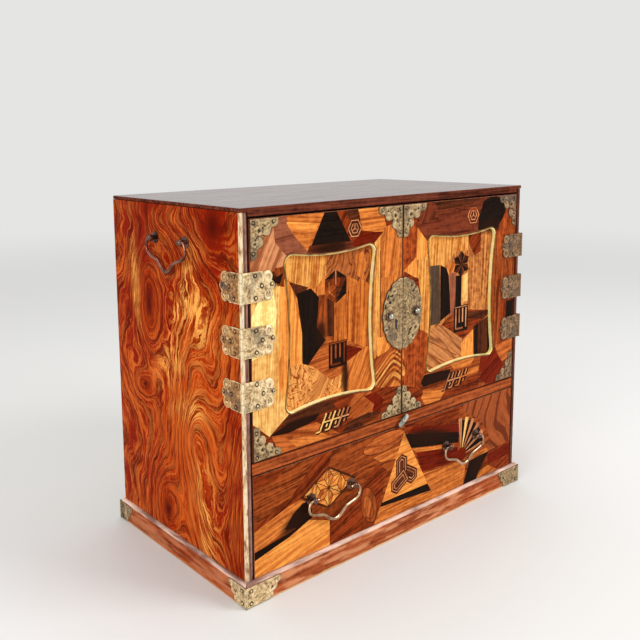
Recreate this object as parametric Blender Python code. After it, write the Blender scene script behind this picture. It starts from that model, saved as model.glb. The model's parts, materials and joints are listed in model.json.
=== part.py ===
"""Tansu table cabinet: two marquetry doors on wrap-round hinges over one drawer, on a plinth.

Lengths are metres. The cabinet stands on z = 0 and its front faces -Y. Every piece is modelled
in the cabinet's own frame, where x = 0 and y = 0 are the middle of the carcass, and hangs on an
empty that lies on the axis of the joint that moves it.
"""

import math

import bmesh
import bpy
from mathutils import Matrix, Vector

# Carcass
WIDTH = 0.400
DEPTH = 0.220
HEIGHT = 0.354
GLUE_GAP = 0.0003
SIDE_THICK = 0.008
SIDE_CHAMFER = 0.0024
TOP_THICK = 0.0085
TOP_LAP = 0.0035
BACK_THICK = 0.006
BACK_REBATE = 0.004
BOTTOM_THICK = 0.008
DIVIDER_THICK = 0.010
DIVIDER_TOP = 0.129
SHELF_THICK = 0.008
SHELF_RISE = 0.115
SHELF_SETBACK = 0.040
HOUSING_DEPTH = 0.003
HOUSING_STOP = 0.014

# Plinth
PLINTH_HEIGHT = 0.022
PLINTH_PROUD = 0.004
PLINTH_RAIL = 0.016
PLINTH_LEDGE = 0.006
PLINTH_CHAMFER = 0.0022

# Doors
DOOR_THICK = 0.014
DOOR_SIDE_GAP = 0.0015
DOOR_TOP_GAP = 0.0010
DOOR_BOTTOM_GAP = 0.0018
DOOR_MEETING_GAP = 0.0012
WINDOW_WIDTH = 0.116
WINDOW_HEIGHT = 0.146
WINDOW_CORNER = 0.009
WINDOW_BOW = math.radians(9.5)
PANEL_RECESS = 0.0036
PANEL_THICK = 0.004
BEAD_WIDTH = 0.0015
BEAD_PROUD = 0.0006

# Hinges
HINGE_RISE = 0.0010
HINGE_GAP = 0.0210
LEAF_HEIGHT = 0.0265
LEAF_THICK = 0.0010
DOOR_LEAF_PLAIN = 0.0243
SIDE_LEAF_PLAIN = 0.0187
LEAF_CORNER = 0.0030
LEAF_NOTCH = 0.0021
LEAF_LOBE = 0.0055
LEAF_MIDDLE_LOBE = 0.0044
LEAF_LOBE_REACH = 0.0032
BARREL_RADIUS = 0.0015
BARREL_BORE = 0.0009
BARREL_STAND = 0.0009
HINGE_PIN_RADIUS = 0.0006
KNUCKLE_GAP = 0.0004
MIDDLE_KNUCKLE = 0.0100

# Lock and pull studs
LOCK_PLATE_WIDTH = 0.058
LOCK_PLATE_HEIGHT = 0.074
LOCK_PLATE_THICK = 0.0014
LOCK_PLATE_DROP = 0.0022
LOCK_PLATE_SCALLOPS = 7
LOCK_PLATE_SCALLOP_DEPTH = 0.0016
KEYHOLE_INSET = 0.0100
KEYHOLE_DROP = 0.0070
KEYHOLE_RADIUS = 0.0016
KEYHOLE_SLOT_WIDTH = 0.0018
KEYHOLE_SLOT_LENGTH = 0.0060
STUD_INSET = 0.0195
STUD_RADIUS = 0.0034
STUD_REACH = 0.0042
STUD_WASHER_RADIUS = 0.0052
STUD_WASHER_THICK = 0.0010
STUD_SHANK_RADIUS = 0.0016
STUD_SHANK_DEPTH = 0.0090
LOCK_CASE_WIDTH = 0.032
LOCK_CASE_HEIGHT = 0.040
LOCK_CASE_DEPTH = 0.0100
LOCK_CASE_WALL = 0.0018
LOCK_CASE_INSET = 0.0035
BOLT_HEIGHT = 0.0080
BOLT_LENGTH = 0.0240

# Turn catch on the divider's front edge
CATCH_LENGTH = 0.0165
CATCH_WIDTH = 0.0060
CATCH_THICK = 0.0018
CATCH_STANDOFF = 0.0024
CATCH_TILT = math.radians(53)
CATCH_PIN_RADIUS = 0.0011
CATCH_HEAD_RADIUS = 0.0022
CATCH_HEAD_THICK = 0.0012
CATCH_PIN_DEPTH = 0.0100

# Drawer
DRAWER_FRONT_THICK = 0.014
DRAWER_GAP = 0.0008
DRAWER_TOP_GAP = 0.0016
DRAWER_SIDE_THICK = 0.008
DRAWER_SIDE_DROP = 0.010
DRAWER_REAR_GAP = 0.014
DRAWER_LAP = 0.006
DRAWER_BACK_THICK = 0.008
DRAWER_BOTTOM_THICK = 0.005
DRAWER_BOTTOM_RAISE = 0.004
GROOVE_DEPTH = 0.004

# Bail handles: span is between the two posts, shoulder is how far the rod swings outside them
DRAWER_BAIL_SPAN = 0.052
DRAWER_BAIL_SHOULDER = 0.0072
DRAWER_BAIL_DROP = 0.0250
DRAWER_BAIL_OFFSET = 0.098
DRAWER_BAIL_RISE = 0.0072
SIDE_BAIL_SPAN = 0.053
SIDE_BAIL_SHOULDER = 0.0078
SIDE_BAIL_DROP = 0.0300
SIDE_BAIL_BELOW_TOP = 0.0360
BAIL_END_RADIUS = 0.00125
BAIL_BELLY_RADIUS = 0.0018
BAIL_END_STUB = 0.0016
EYE_RADIUS = 0.0034
EYE_BORE = 0.0020
EYE_STANDOFF = 0.0060
POST_RADIUS = 0.0022
POST_SHANK_RADIUS = 0.0017
POST_SHANK_DEPTH = 0.0065
ROSETTE_RADIUS = 0.0058
ROSETTE_THICK = 0.0012

# Clearance of a round shank in its hole, and facets of round pieces
HOLE_CLEARANCE = 0.0003
ROUND_SIDES = 12
FINE_SIDES = 16

# Levels and faces worked out from the sizes above
FRONT = -DEPTH / 2
BACK = DEPTH / 2
SIDE_INNER = WIDTH / 2 - SIDE_THICK
TOP_UNDERSIDE = HEIGHT - TOP_THICK
DIVIDER_UNDERSIDE = DIVIDER_TOP - DIVIDER_THICK
DOOR_LOW = DIVIDER_TOP + DOOR_BOTTOM_GAP
DOOR_HIGH = TOP_UNDERSIDE - DOOR_TOP_GAP
DOOR_OUTER = SIDE_INNER - DOOR_SIDE_GAP
DOOR_INNER = DOOR_MEETING_GAP / 2
DOOR_MIDDLE = (DOOR_OUTER + DOOR_INNER) / 2
DOOR_LEVEL = (DOOR_LOW + DOOR_HIGH) / 2
DOOR_BACK = FRONT + DOOR_THICK
SHELF_TOP = DIVIDER_TOP + SHELF_RISE
LOCK_LEVEL = DOOR_LEVEL - LOCK_PLATE_DROP
DRAWER_LOW = PLINTH_HEIGHT + GLUE_GAP
DRAWER_HIGH = DIVIDER_UNDERSIDE - DRAWER_TOP_GAP
DRAWER_HALF = SIDE_INNER - DRAWER_GAP
DRAWER_BAIL_LEVEL = (DRAWER_LOW + DRAWER_HIGH) / 2 + DRAWER_BAIL_RISE
SIDE_BAIL_LEVEL = HEIGHT - SIDE_BAIL_BELOW_TOP
HINGE_X = WIDTH / 2 + BARREL_STAND
HINGE_Y = FRONT - BARREL_STAND
HINGE_PITCH = LEAF_HEIGHT + HINGE_GAP
HINGE_LEVELS = {
    "top": DOOR_LEVEL + HINGE_RISE + HINGE_PITCH,
    "middle": DOOR_LEVEL + HINGE_RISE,
    "bottom": DOOR_LEVEL + HINGE_RISE - HINGE_PITCH,
}
CATCH_LEVEL = DIVIDER_TOP - DIVIDER_THICK / 2
EYE_Y = FRONT - EYE_STANDOFF
EYE_X = WIDTH / 2 + EYE_STANDOFF

# The origin is the middle of the whole box, which the drawer's bail eyes and the plinth bound
ORIGIN_SHIFT = (EYE_STANDOFF + EYE_RADIUS - PLINTH_PROUD) / 2

WOODS = {
    "figured_side_wood": ((0.42, 0.145, 0.035), 0.32, 0.0),
    "dark_edge_wood": ((0.11, 0.045, 0.03), 0.35, 0.0),
    "marquetry_wood": ((0.40, 0.17, 0.055), 0.32, 0.0),
    "inner_wood": ((0.46, 0.30, 0.16), 0.6, 0.0),
    "plinth_wood": ((0.30, 0.115, 0.055), 0.4, 0.0),
}
METALS = {
    "engraved_brass": ((0.42, 0.33, 0.18), 0.42, 1.0),
    "gilt": ((0.78, 0.58, 0.22), 0.35, 1.0),
    "bronze": ((0.30, 0.17, 0.13), 0.33, 1.0),
    "steel": ((0.56, 0.56, 0.52), 0.3, 1.0),
}


def clear_scene():
    for obj in list(bpy.data.objects):
        bpy.data.objects.remove(obj, do_unlink=True)


def make_materials():
    made = {}
    for name, (colour, roughness, metallic) in {**WOODS, **METALS}.items():
        material = bpy.data.materials.new(name)
        material.use_nodes = True
        shader = material.node_tree.nodes["Principled BSDF"]
        shader.inputs["Base Color"].default_value = (*colour, 1)
        shader.inputs["Roughness"].default_value = roughness
        shader.inputs["Metallic"].default_value = metallic
        material.diffuse_color = (*colour, 1)
        made[name] = material
    return made


def add_pivot(name, at, parent=None):
    """An empty on a joint's axis, at a point of the cabinet's frame."""
    empty = bpy.data.objects.new(name, None)
    empty["at"] = list(at)
    empty.location = Vector(at) - Vector(parent["at"] if parent else (0, 0, 0))
    empty.parent = parent
    bpy.context.scene.collection.objects.link(empty)
    return empty


def add_object(name, data, pivot, material=None):
    """Links data, drawn in the cabinet's frame, as an object that hangs on its pivot."""
    data.transform(Matrix.Translation(-Vector(pivot["at"])))
    obj = bpy.data.objects.new(name, data)
    obj.parent = pivot
    if material:
        data.materials.append(material)
    bpy.context.scene.collection.objects.link(obj)
    return obj


def add_mesh(name, bm, pivot, material=None, smooth=False):
    bmesh.ops.recalc_face_normals(bm, faces=bm.faces)
    mesh = bpy.data.meshes.new(name)
    bm.to_mesh(mesh)
    bm.free()
    if smooth:
        mesh.shade_smooth()
        mesh.set_sharp_from_angle(angle=math.radians(35))
    return add_object(name, mesh, pivot, material)


def box(low, high):
    bm = bmesh.new()
    bmesh.ops.create_cube(bm, size=1)
    size = Vector(high) - Vector(low)
    middle = (Vector(high) + Vector(low)) / 2
    bmesh.ops.scale(bm, vec=size, verts=bm.verts)
    bmesh.ops.translate(bm, vec=middle, verts=bm.verts)
    return bm


def prism(outline, along, low, high):
    """An outline drawn in the two axes other than along, in X Y Z order, extruded from low to high."""
    bm = bmesh.new()
    place = {
        "X": lambda a, b: (low, a, b),
        "Y": lambda a, b: (a, low, b),
        "Z": lambda a, b: (a, b, low),
    }[along]
    step = {"X": (high - low, 0, 0), "Y": (0, high - low, 0), "Z": (0, 0, high - low)}[along]
    face = bm.faces.new([bm.verts.new(place(a, b)) for a, b in outline])
    made = bmesh.ops.extrude_face_region(bm, geom=[face])
    moved = [g for g in made["geom"] if isinstance(g, bmesh.types.BMVert)]
    bmesh.ops.translate(bm, vec=step, verts=moved)
    return bm


def turned(profile, base, direction, sides):
    """A solid of revolution: profile is (radius, distance along direction from base), end to end."""
    bm = bmesh.new()
    frame = Vector((0, 0, 1)).rotation_difference(Vector(direction)).to_matrix()
    rings = []
    for radius, height in profile:
        if radius == 0:
            rings.append([bm.verts.new(Vector(base) + frame @ Vector((0, 0, height)))])
            continue
        ring = []
        for n in range(sides):
            angle = 2 * math.pi * (n + 0.5) / sides
            point = Vector((radius * math.cos(angle), radius * math.sin(angle), height))
            ring.append(bm.verts.new(Vector(base) + frame @ point))
        rings.append(ring)
    for first, second in zip(rings, rings[1:]):
        for n in range(sides):
            corners = [first[n % len(first)], first[(n + 1) % len(first)]]
            corners += [second[(n + 1) % len(second)], second[n % len(second)]]
            bm.faces.new(list(dict.fromkeys(corners)))
    for ring in (rings[0], rings[-1]):
        if len(ring) > 1:
            bm.faces.new(ring)
    return bm


def rod(radius, start, end, sides=ROUND_SIDES):
    length = (Vector(end) - Vector(start)).length
    return turned([(radius, 0), (radius, length)], start, Vector(end) - Vector(start), sides)


def cut(obj, bm, pivot, operation="DIFFERENCE"):
    """Cuts, or joins, a hidden helper shape from an object with a Boolean."""
    helper = add_mesh(f"{obj.name}_helper{len(obj.modifiers)}", bm, pivot)
    helper.hide_render = True
    helper.display_type = "WIRE"
    modifier = obj.modifiers.new(helper.name, "BOOLEAN")
    modifier.operation = operation
    modifier.object = helper


def arc(centre, radius, start, end, steps):
    """Points of an arc from one angle to another, both included."""
    for n in range(steps + 1):
        angle = start + (end - start) * n / steps
        yield centre[0] + radius * math.cos(angle), centre[1] + radius * math.sin(angle)


def window_outline(middle, inset=0.0):
    """The door window's outline, or a line a set distance inside it: round ears joined by sides
    that bow inwards. middle is the window's centre as x, z."""
    corner = WINDOW_CORNER - inset
    ear = WINDOW_CORNER * math.cos(WINDOW_BOW)
    ear_x, ear_z = WINDOW_WIDTH / 2 - ear, WINDOW_HEIGHT / 2 - ear
    points = []
    for quarter, (sx, sz) in enumerate(((1, 1), (-1, 1), (-1, -1), (1, -1))):
        turn = quarter * math.pi / 2
        ear_end = turn + math.pi / 2 + WINDOW_BOW
        points += arc((sx * ear_x, sz * ear_z), corner, turn - WINDOW_BOW, ear_end, 6)
        half = (ear_x if quarter % 2 == 0 else ear_z) - WINDOW_CORNER * math.sin(WINDOW_BOW)
        bow_radius = half / math.sin(WINDOW_BOW)
        chord = (ear_z if quarter % 2 == 0 else ear_x) + WINDOW_CORNER * math.cos(WINDOW_BOW)
        out = turn + math.pi / 2
        away = chord + bow_radius * math.cos(WINDOW_BOW)
        centre = (away * math.cos(out), away * math.sin(out))
        back = out + math.pi
        side = list(arc(centre, bow_radius + inset, back + WINDOW_BOW, back - WINDOW_BOW, 8))
        points += side[1:-1]
    return [(middle[0] + x, middle[1] + z) for x, z in points]


def crossing(first, first_radius, second, second_radius):
    """Where two circles cross, on the right of the way from the first centre to the second."""
    way = Vector(second) - Vector(first)
    span = way.length
    ahead = (span**2 + first_radius**2 - second_radius**2) / (2 * span)
    aside = math.sqrt(first_radius**2 - ahead**2)
    way.normalize()
    return Vector(first) + way * ahead + Vector((way.y, -way.x)) * aside


def lobed_end(plain, height, corner, notch, lobe, middle_lobe, reach, steps=5):
    """Points along a hinge leaf's cloud-shaped end, bottom to top: a round corner, then past a notch
    three round lobes, the middle one furthest out. A point is distance from the hinge axis, height
    from the leaf's middle."""
    corner_turn = math.asin((corner - notch) / corner)
    lobe_turn = math.asin((lobe - notch) / lobe)
    corner_centre = Vector((plain - corner, corner - height / 2))
    notch_at = corner_centre.x + corner * math.cos(corner_turn)
    side_centre = Vector((notch_at + lobe * math.cos(lobe_turn), lobe - height / 2))
    middle_centre = Vector((side_centre.x + reach, 0))
    cusp = crossing(side_centre, lobe, middle_centre, middle_lobe)
    seen = cusp - side_centre
    points = list(arc(corner_centre, corner, -math.pi / 2, -corner_turn, steps))
    points += list(arc(side_centre, lobe, lobe_turn - math.pi, math.atan2(seen.y, seen.x), steps + 2))[1:]
    seen = cusp - middle_centre
    opening = -math.atan2(seen.y, seen.x)
    middle = list(arc(middle_centre, middle_lobe, -opening, opening, steps + 1))[1:-1]
    return points + middle + [(u, -v) for u, v in reversed(points)]


def smooth(points, per_span=2):
    """A Catmull-Rom curve through the points, read per_span times on each span."""
    padded = [points[0] * 2 - points[1], *points, points[-1] * 2 - points[-2]]
    made = []
    for a, b, c, d in zip(padded, padded[1:], padded[2:], padded[3:]):
        for n in range(per_span):
            t = n / per_span
            made.append(
                0.5
                * (
                    2 * b
                    + (c - a) * t
                    + (2 * a - 5 * b + 4 * c - d) * t * t
                    + (3 * b - a - 3 * c + d) * t**3
                )
            )
    return made + [points[-1]]


def carcass(root, materials):
    for side in (-1, 1):
        side_panel(side, root, materials)
    half, inner = WIDTH / 2, SIDE_INNER - GLUE_GAP
    lap = HEIGHT - TOP_LAP
    top = [(-half, HEIGHT), (-half, lap), (-inner, lap), (-inner, TOP_UNDERSIDE)]
    top += [(-x, z) for x, z in reversed(top)]
    top_board = add_mesh("top_board", prism(top, "Y", FRONT, BACK), root, materials["dark_edge_wood"])
    rebate_low = (-half, BACK - BACK_THICK - GLUE_GAP, TOP_UNDERSIDE - TOP_THICK)
    cut(top_board, box(rebate_low, (half, BACK + BACK_THICK, lap)), root)
    back_half = SIDE_INNER + BACK_REBATE - GLUE_GAP
    add_mesh(
        "back_panel",
        box(
            (-back_half, BACK - BACK_THICK, PLINTH_HEIGHT + GLUE_GAP),
            (back_half, BACK, lap - GLUE_GAP),
        ),
        root,
        materials["inner_wood"],
    )
    floor_x = WIDTH / 2 + PLINTH_PROUD - PLINTH_RAIL + PLINTH_LEDGE - GLUE_GAP
    floor_y = floor_x - WIDTH / 2 + DEPTH / 2
    add_mesh(
        "bottom_board",
        box((-floor_x, -floor_y, PLINTH_HEIGHT - BOTTOM_THICK), (floor_x, floor_y, PLINTH_HEIGHT)),
        root,
        materials["inner_wood"],
    )
    divider(root, materials)
    shelf_half = SIDE_INNER + HOUSING_DEPTH - GLUE_GAP
    add_mesh(
        "shelf_board",
        box(
            (-shelf_half, FRONT + SHELF_SETBACK, SHELF_TOP - SHELF_THICK),
            (shelf_half, BACK - BACK_THICK - GLUE_GAP, SHELF_TOP),
        ),
        root,
        materials["inner_wood"],
    )


def side_panel(side, root, materials):
    """A side panel with its chamfered front corner, back rebate, housings and handle holes."""
    outer, inner = side * WIDTH / 2, side * SIDE_INNER
    rebate_y = BACK - BACK_THICK - GLUE_GAP
    outline = [
        (outer, FRONT + SIDE_CHAMFER),
        (outer, BACK),
        (inner + side * BACK_REBATE, BACK),
        (inner + side * BACK_REBATE, rebate_y),
        (inner, rebate_y),
        (inner, FRONT),
        (outer - side * SIDE_CHAMFER, FRONT),
    ]
    name = "left_side_panel" if side < 0 else "right_side_panel"
    high = HEIGHT - TOP_LAP - GLUE_GAP
    panel = add_mesh(
        name,
        prism(outline, "Z", PLINTH_HEIGHT + GLUE_GAP, high),
        root,
        materials["figured_side_wood"],
    )
    reach = inner + side * HOUSING_DEPTH
    past = inner - side * SIDE_THICK
    for start, low, thick in (
        (FRONT + HOUSING_STOP, DIVIDER_UNDERSIDE, DIVIDER_THICK),
        (FRONT + SHELF_SETBACK, SHELF_TOP - SHELF_THICK, SHELF_THICK),
    ):
        housing_low = (min(reach, past), start - GLUE_GAP, low - GLUE_GAP)
        housing_high = (max(reach, past), BACK - BACK_THICK / 2, low + thick + GLUE_GAP)
        cut(panel, box(housing_low, housing_high), root)
    for end in (-1, 1):
        centre = Vector((outer, end * SIDE_BAIL_SPAN / 2, SIDE_BAIL_LEVEL))
        start = centre + Vector((side * SIDE_THICK, 0, 0))
        depth = Vector((-side * (POST_SHANK_DEPTH + HOLE_CLEARANCE), 0, 0))
        cut(panel, rod(POST_SHANK_RADIUS + HOLE_CLEARANCE, start, centre + depth), root)


def divider(root, materials):
    """The board between doors and drawer, whose front edge is the rail: its ends are housed in the
    side panels behind the front, and the catch's pin goes into it."""
    inner = SIDE_INNER - GLUE_GAP
    housed = SIDE_INNER + HOUSING_DEPTH - GLUE_GAP
    step_y = FRONT + HOUSING_STOP
    rear = BACK - BACK_THICK - GLUE_GAP
    outline = [(-inner, FRONT), (-inner, step_y), (-housed, step_y), (-housed, rear)]
    outline += [(-x, y) for x, y in reversed(outline)]
    board = add_mesh(
        "divider_board",
        prism(outline, "Z", DIVIDER_UNDERSIDE, DIVIDER_TOP),
        root,
        materials["plinth_wood"],
    )
    start = (0, FRONT - CATCH_PIN_DEPTH, CATCH_LEVEL)
    end = (0, FRONT + CATCH_PIN_DEPTH + HOLE_CLEARANCE, CATCH_LEVEL)
    cut(board, rod(CATCH_PIN_RADIUS + HOLE_CLEARANCE, start, end), root)


def plinth(root, materials):
    """Four mitred rails, each with a chamfered top edge and a ledge that carries the bottom board."""
    ledge_top = PLINTH_HEIGHT - BOTTOM_THICK - GLUE_GAP
    profile = [
        (0, 0),
        (PLINTH_RAIL, 0),
        (PLINTH_RAIL, ledge_top),
        (PLINTH_RAIL - PLINTH_LEDGE, ledge_top),
        (PLINTH_RAIL - PLINTH_LEDGE, PLINTH_HEIGHT),
        (PLINTH_CHAMFER, PLINTH_HEIGHT),
        (0, PLINTH_HEIGHT - PLINTH_CHAMFER),
    ]
    runs = {
        "plinth_front_rail": (0, WIDTH, DEPTH),
        "plinth_right_rail": (1, DEPTH, WIDTH),
        "plinth_back_rail": (2, WIDTH, DEPTH),
        "plinth_left_rail": (3, DEPTH, WIDTH),
    }
    for name, (quarter, length, across) in runs.items():
        half = length / 2 + PLINTH_PROUD
        outer = across / 2 + PLINTH_PROUD
        mitre = GLUE_GAP / math.sqrt(2)
        bm = prism([(inward - outer, z) for inward, z in profile], "X", -half, half)
        for vert in bm.verts:
            vert.co.x = math.copysign(half - (vert.co.y + outer) - mitre, vert.co.x)
        turn = Matrix.Rotation(quarter * math.pi / 2, 3, "Z")
        bmesh.ops.rotate(bm, cent=(0, 0, 0), matrix=turn, verts=bm.verts)
        add_mesh(name, bm, root, materials["plinth_wood"])


def door(side, pivot, materials):
    """One door: a frame with a shaped window, the inset panel behind it, and the gilt bead."""
    name = "left_door" if side < 0 else "right_door"
    middle = (side * DOOR_MIDDLE, DOOR_LEVEL)
    edges = sorted((side * DOOR_INNER, side * DOOR_OUTER))
    frame = add_mesh(
        f"{name}_frame",
        box((edges[0], FRONT, DOOR_LOW), (edges[1], DOOR_BACK, DOOR_HIGH)),
        pivot,
        materials["marquetry_wood"],
    )
    through = (FRONT - DOOR_THICK, DOOR_BACK + DOOR_THICK)
    cut(frame, prism(window_outline(middle), "Y", *through), pivot)
    panel_front = FRONT + PANEL_RECESS
    panel = prism(window_outline(middle, GLUE_GAP), "Y", panel_front, panel_front + PANEL_THICK)
    add_mesh(f"{name}_panel", panel, pivot, materials["marquetry_wood"])
    bead(f"{name}_bead", middle, pivot, materials)
    stud_hole = Vector((side * STUD_INSET, FRONT, LOCK_LEVEL))
    shank = Vector((0, STUD_SHANK_DEPTH + HOLE_CLEARANCE, 0))
    cut(frame, rod(STUD_SHANK_RADIUS + HOLE_CLEARANCE, stud_hole - shank, stud_hole + shank), pivot)
    lock_plate(side, pivot, materials)
    pull_stud(side, pivot, materials)
    if side < 0:
        cut(frame, prism(keyhole_outline(), "Y", *through), pivot)


def bead(name, middle, pivot, materials):
    """The gilt bead: a ring with a crowned front that lines the window down to the panel."""
    back_y = FRONT + PANEL_RECESS - GLUE_GAP
    shoulder = FRONT - BEAD_PROUD / 3
    section = [
        (GLUE_GAP, back_y),
        (GLUE_GAP, shoulder),
        (GLUE_GAP + BEAD_WIDTH / 2, FRONT - BEAD_PROUD),
        (GLUE_GAP + BEAD_WIDTH, shoulder),
        (GLUE_GAP + BEAD_WIDTH, back_y),
    ]
    bm = bmesh.new()
    rings = []
    for inset, y in section:
        rings.append([bm.verts.new((x, y, z)) for x, z in window_outline(middle, inset)])
    for first, second in zip(rings, rings[1:] + rings[:1]):
        for n in range(len(first)):
            after = (n + 1) % len(first)
            bm.faces.new((first[n], first[after], second[after], second[n]))
    add_mesh(name, bm, pivot, materials["gilt"])


def keyhole_outline():
    """A round eye with a slot below it, cut through the left lock plate and door."""
    x = -KEYHOLE_INSET
    z = LOCK_LEVEL - KEYHOLE_DROP
    half = KEYHOLE_SLOT_WIDTH / 2
    start = math.asin(half / KEYHOLE_RADIUS) - math.pi / 2
    points = list(arc((x, z), KEYHOLE_RADIUS, start, math.pi - start, 9))
    low = z - KEYHOLE_SLOT_LENGTH
    return points + [(x - half, low), (x + half, low)]


def lock_plate_outline(side):
    """Half of a scalloped oval that meets its other half at the gap between the doors."""
    half_width = LOCK_PLATE_WIDTH / 2
    half_height = LOCK_PLATE_HEIGHT / 2
    seam = side * DOOR_INNER
    steps = 4 * LOCK_PLATE_SCALLOPS
    points = []
    for n in range(steps + 1):
        angle = math.pi * n / steps - math.pi / 2
        wave = abs(math.sin(LOCK_PLATE_SCALLOPS * math.pi * n / steps))
        dip = LOCK_PLATE_SCALLOP_DEPTH * (1 - wave)
        reach = max(half_width * math.cos(angle) - dip * math.cos(angle), 0)
        x = side * (DOOR_INNER + reach)
        points.append((x, LOCK_LEVEL + (half_height - dip) * math.sin(angle)))
    points[0] = (seam, points[0][1])
    points[-1] = (seam, points[-1][1])
    return points


def lock_plate(side, pivot, materials):
    name = "left_lock_plate" if side < 0 else "right_lock_plate"
    back_y = FRONT - GLUE_GAP
    front_y = back_y - LOCK_PLATE_THICK
    plate = add_mesh(
        name,
        prism(lock_plate_outline(side), "Y", front_y, back_y),
        pivot,
        materials["engraved_brass"],
    )
    past = LOCK_PLATE_THICK
    if side < 0:
        cut(plate, prism(keyhole_outline(), "Y", front_y - past, back_y + past), pivot)
    centre = Vector((side * STUD_INSET, front_y - past, LOCK_LEVEL))
    through = centre + Vector((0, LOCK_PLATE_THICK + 2 * past, 0))
    cut(plate, rod(STUD_SHANK_RADIUS + HOLE_CLEARANCE, centre, through), pivot)


def pull_stud(side, pivot, materials):
    """A domed stud on a washer, whose shank goes through the lock plate into the door."""
    name = "left_pull_stud" if side < 0 else "right_pull_stud"
    face = LOCK_PLATE_THICK + 2 * GLUE_GAP
    neck = face + STUD_WASHER_THICK
    crown = face + STUD_REACH
    profile = [
        (STUD_SHANK_RADIUS, -STUD_SHANK_DEPTH),
        (STUD_SHANK_RADIUS, face),
        (STUD_WASHER_RADIUS, face),
        (STUD_WASHER_RADIUS * 0.85, neck),
        (STUD_RADIUS * 0.7, neck),
        (STUD_RADIUS, (neck + crown) / 2),
        (STUD_RADIUS * 0.75, crown - STUD_RADIUS * 0.25),
        (0, crown),
    ]
    base = (side * STUD_INSET, FRONT, LOCK_LEVEL)
    stud = turned(profile, base, (0, -1, 0), ROUND_SIDES)
    add_mesh(name, stud, pivot, materials["bronze"], smooth=True)


def hinge(side, level_name, root, pivot, materials):
    """A wrap-round hinge: a leaf on the side panel with two knuckles, a leaf across the stile onto
    the door with one knuckle, and the pin through them."""
    level = HINGE_LEVELS[level_name]
    name = f"{'left' if side < 0 else 'right'}_{level_name}_hinge"
    hinge_leaf(f"{name}_door_leaf", side, level, pivot, materials, on_door=True)
    hinge_leaf(f"{name}_side_leaf", side, level, root, materials, on_door=False)
    ends = [(side * HINGE_X, HINGE_Y, level + end * LEAF_HEIGHT / 2) for end in (-1, 1)]
    add_mesh(f"{name}_pin", rod(HINGE_PIN_RADIUS, *ends), root, materials["steel"], smooth=True)


def hinge_leaf(name, side, level, pivot, materials, on_door):
    """One leaf. The door's leaf carries the middle knuckle and the panel's leaf the outer two, and
    each is cut back round the other's knuckles."""
    half = LEAF_HEIGHT / 2
    plain = DOOR_LEAF_PLAIN if on_door else SIDE_LEAF_PLAIN
    end = lobed_end(
        plain, LEAF_HEIGHT, LEAF_CORNER, LEAF_NOTCH, LEAF_LOBE, LEAF_MIDDLE_LOBE, LEAF_LOBE_REACH
    )
    outline = [(0, -half), *end, (0, half)]
    slab = sorted((BARREL_STAND - GLUE_GAP - LEAF_THICK, BARREL_STAND - GLUE_GAP))
    if on_door:
        drawn = [(side * (HINGE_X - u), level + v) for u, v in outline]
        bm = prism(drawn, "Y", HINGE_Y + slab[0], HINGE_Y + slab[1])
    else:
        drawn = [(HINGE_Y + u, level + v) for u, v in outline]
        faces = sorted((side * (HINGE_X - slab[0]), side * (HINGE_X - slab[1])))
        bm = prism(drawn, "X", *faces)
    leaf = add_mesh(name, bm, pivot, materials["engraved_brass"])
    axis = Vector((side * HINGE_X, HINGE_Y, level))
    knuckle = MIDDLE_KNUCKLE / 2
    middle, above = (-knuckle, knuckle), (knuckle + KNUCKLE_GAP, half)
    below = (-half, -knuckle - KNUCKLE_GAP)
    own, other = ([middle], [below, above]) if on_door else ([below, above], [middle])
    clear = BARREL_RADIUS + KNUCKLE_GAP
    for low, high in other:
        low -= LEAF_HEIGHT if low == -half else KNUCKLE_GAP
        high += LEAF_HEIGHT if high == half else KNUCKLE_GAP
        gap = box(axis + Vector((-clear, -clear, low)), axis + Vector((clear, clear, high)))
        cut(leaf, gap, pivot)
    for low, high in own:
        barrel = rod(BARREL_RADIUS, axis + Vector((0, 0, low)), axis + Vector((0, 0, high)), FINE_SIDES)
        cut(leaf, barrel, pivot, "UNION")
    reach = Vector((0, 0, LEAF_HEIGHT))
    cut(leaf, rod(BARREL_BORE, axis - reach, axis + reach), pivot)


def lock(door_pivot, bolt_pivot, materials):
    """The lock behind the left door: an open-ended case and the bolt that slides in it."""
    high_x = -DOOR_INNER - LOCK_CASE_INSET
    low_x = high_x - LOCK_CASE_WIDTH
    low_y = DOOR_BACK + GLUE_GAP
    half = LOCK_CASE_HEIGHT / 2
    level = LOCK_LEVEL
    case = add_mesh(
        "lock_case",
        box((low_x, low_y, level - half), (high_x, low_y + LOCK_CASE_DEPTH, level + half)),
        door_pivot,
        materials["steel"],
    )
    bolt_half = BOLT_HEIGHT / 2
    way_low = low_y + LOCK_CASE_WALL
    way_high = low_y + LOCK_CASE_DEPTH - LOCK_CASE_WALL
    play = GLUE_GAP
    way = box(
        (low_x + LOCK_CASE_WALL, way_low, level - bolt_half - play),
        (high_x + LOCK_CASE_WALL, way_high, level + bolt_half + play),
    )
    cut(case, way, door_pivot)
    bolt = box(
        (high_x - BOLT_LENGTH, way_low + play, level - bolt_half),
        (high_x, way_high - play, level + bolt_half),
    )
    add_mesh("lock_bolt", bolt, bolt_pivot, materials["steel"])


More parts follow.
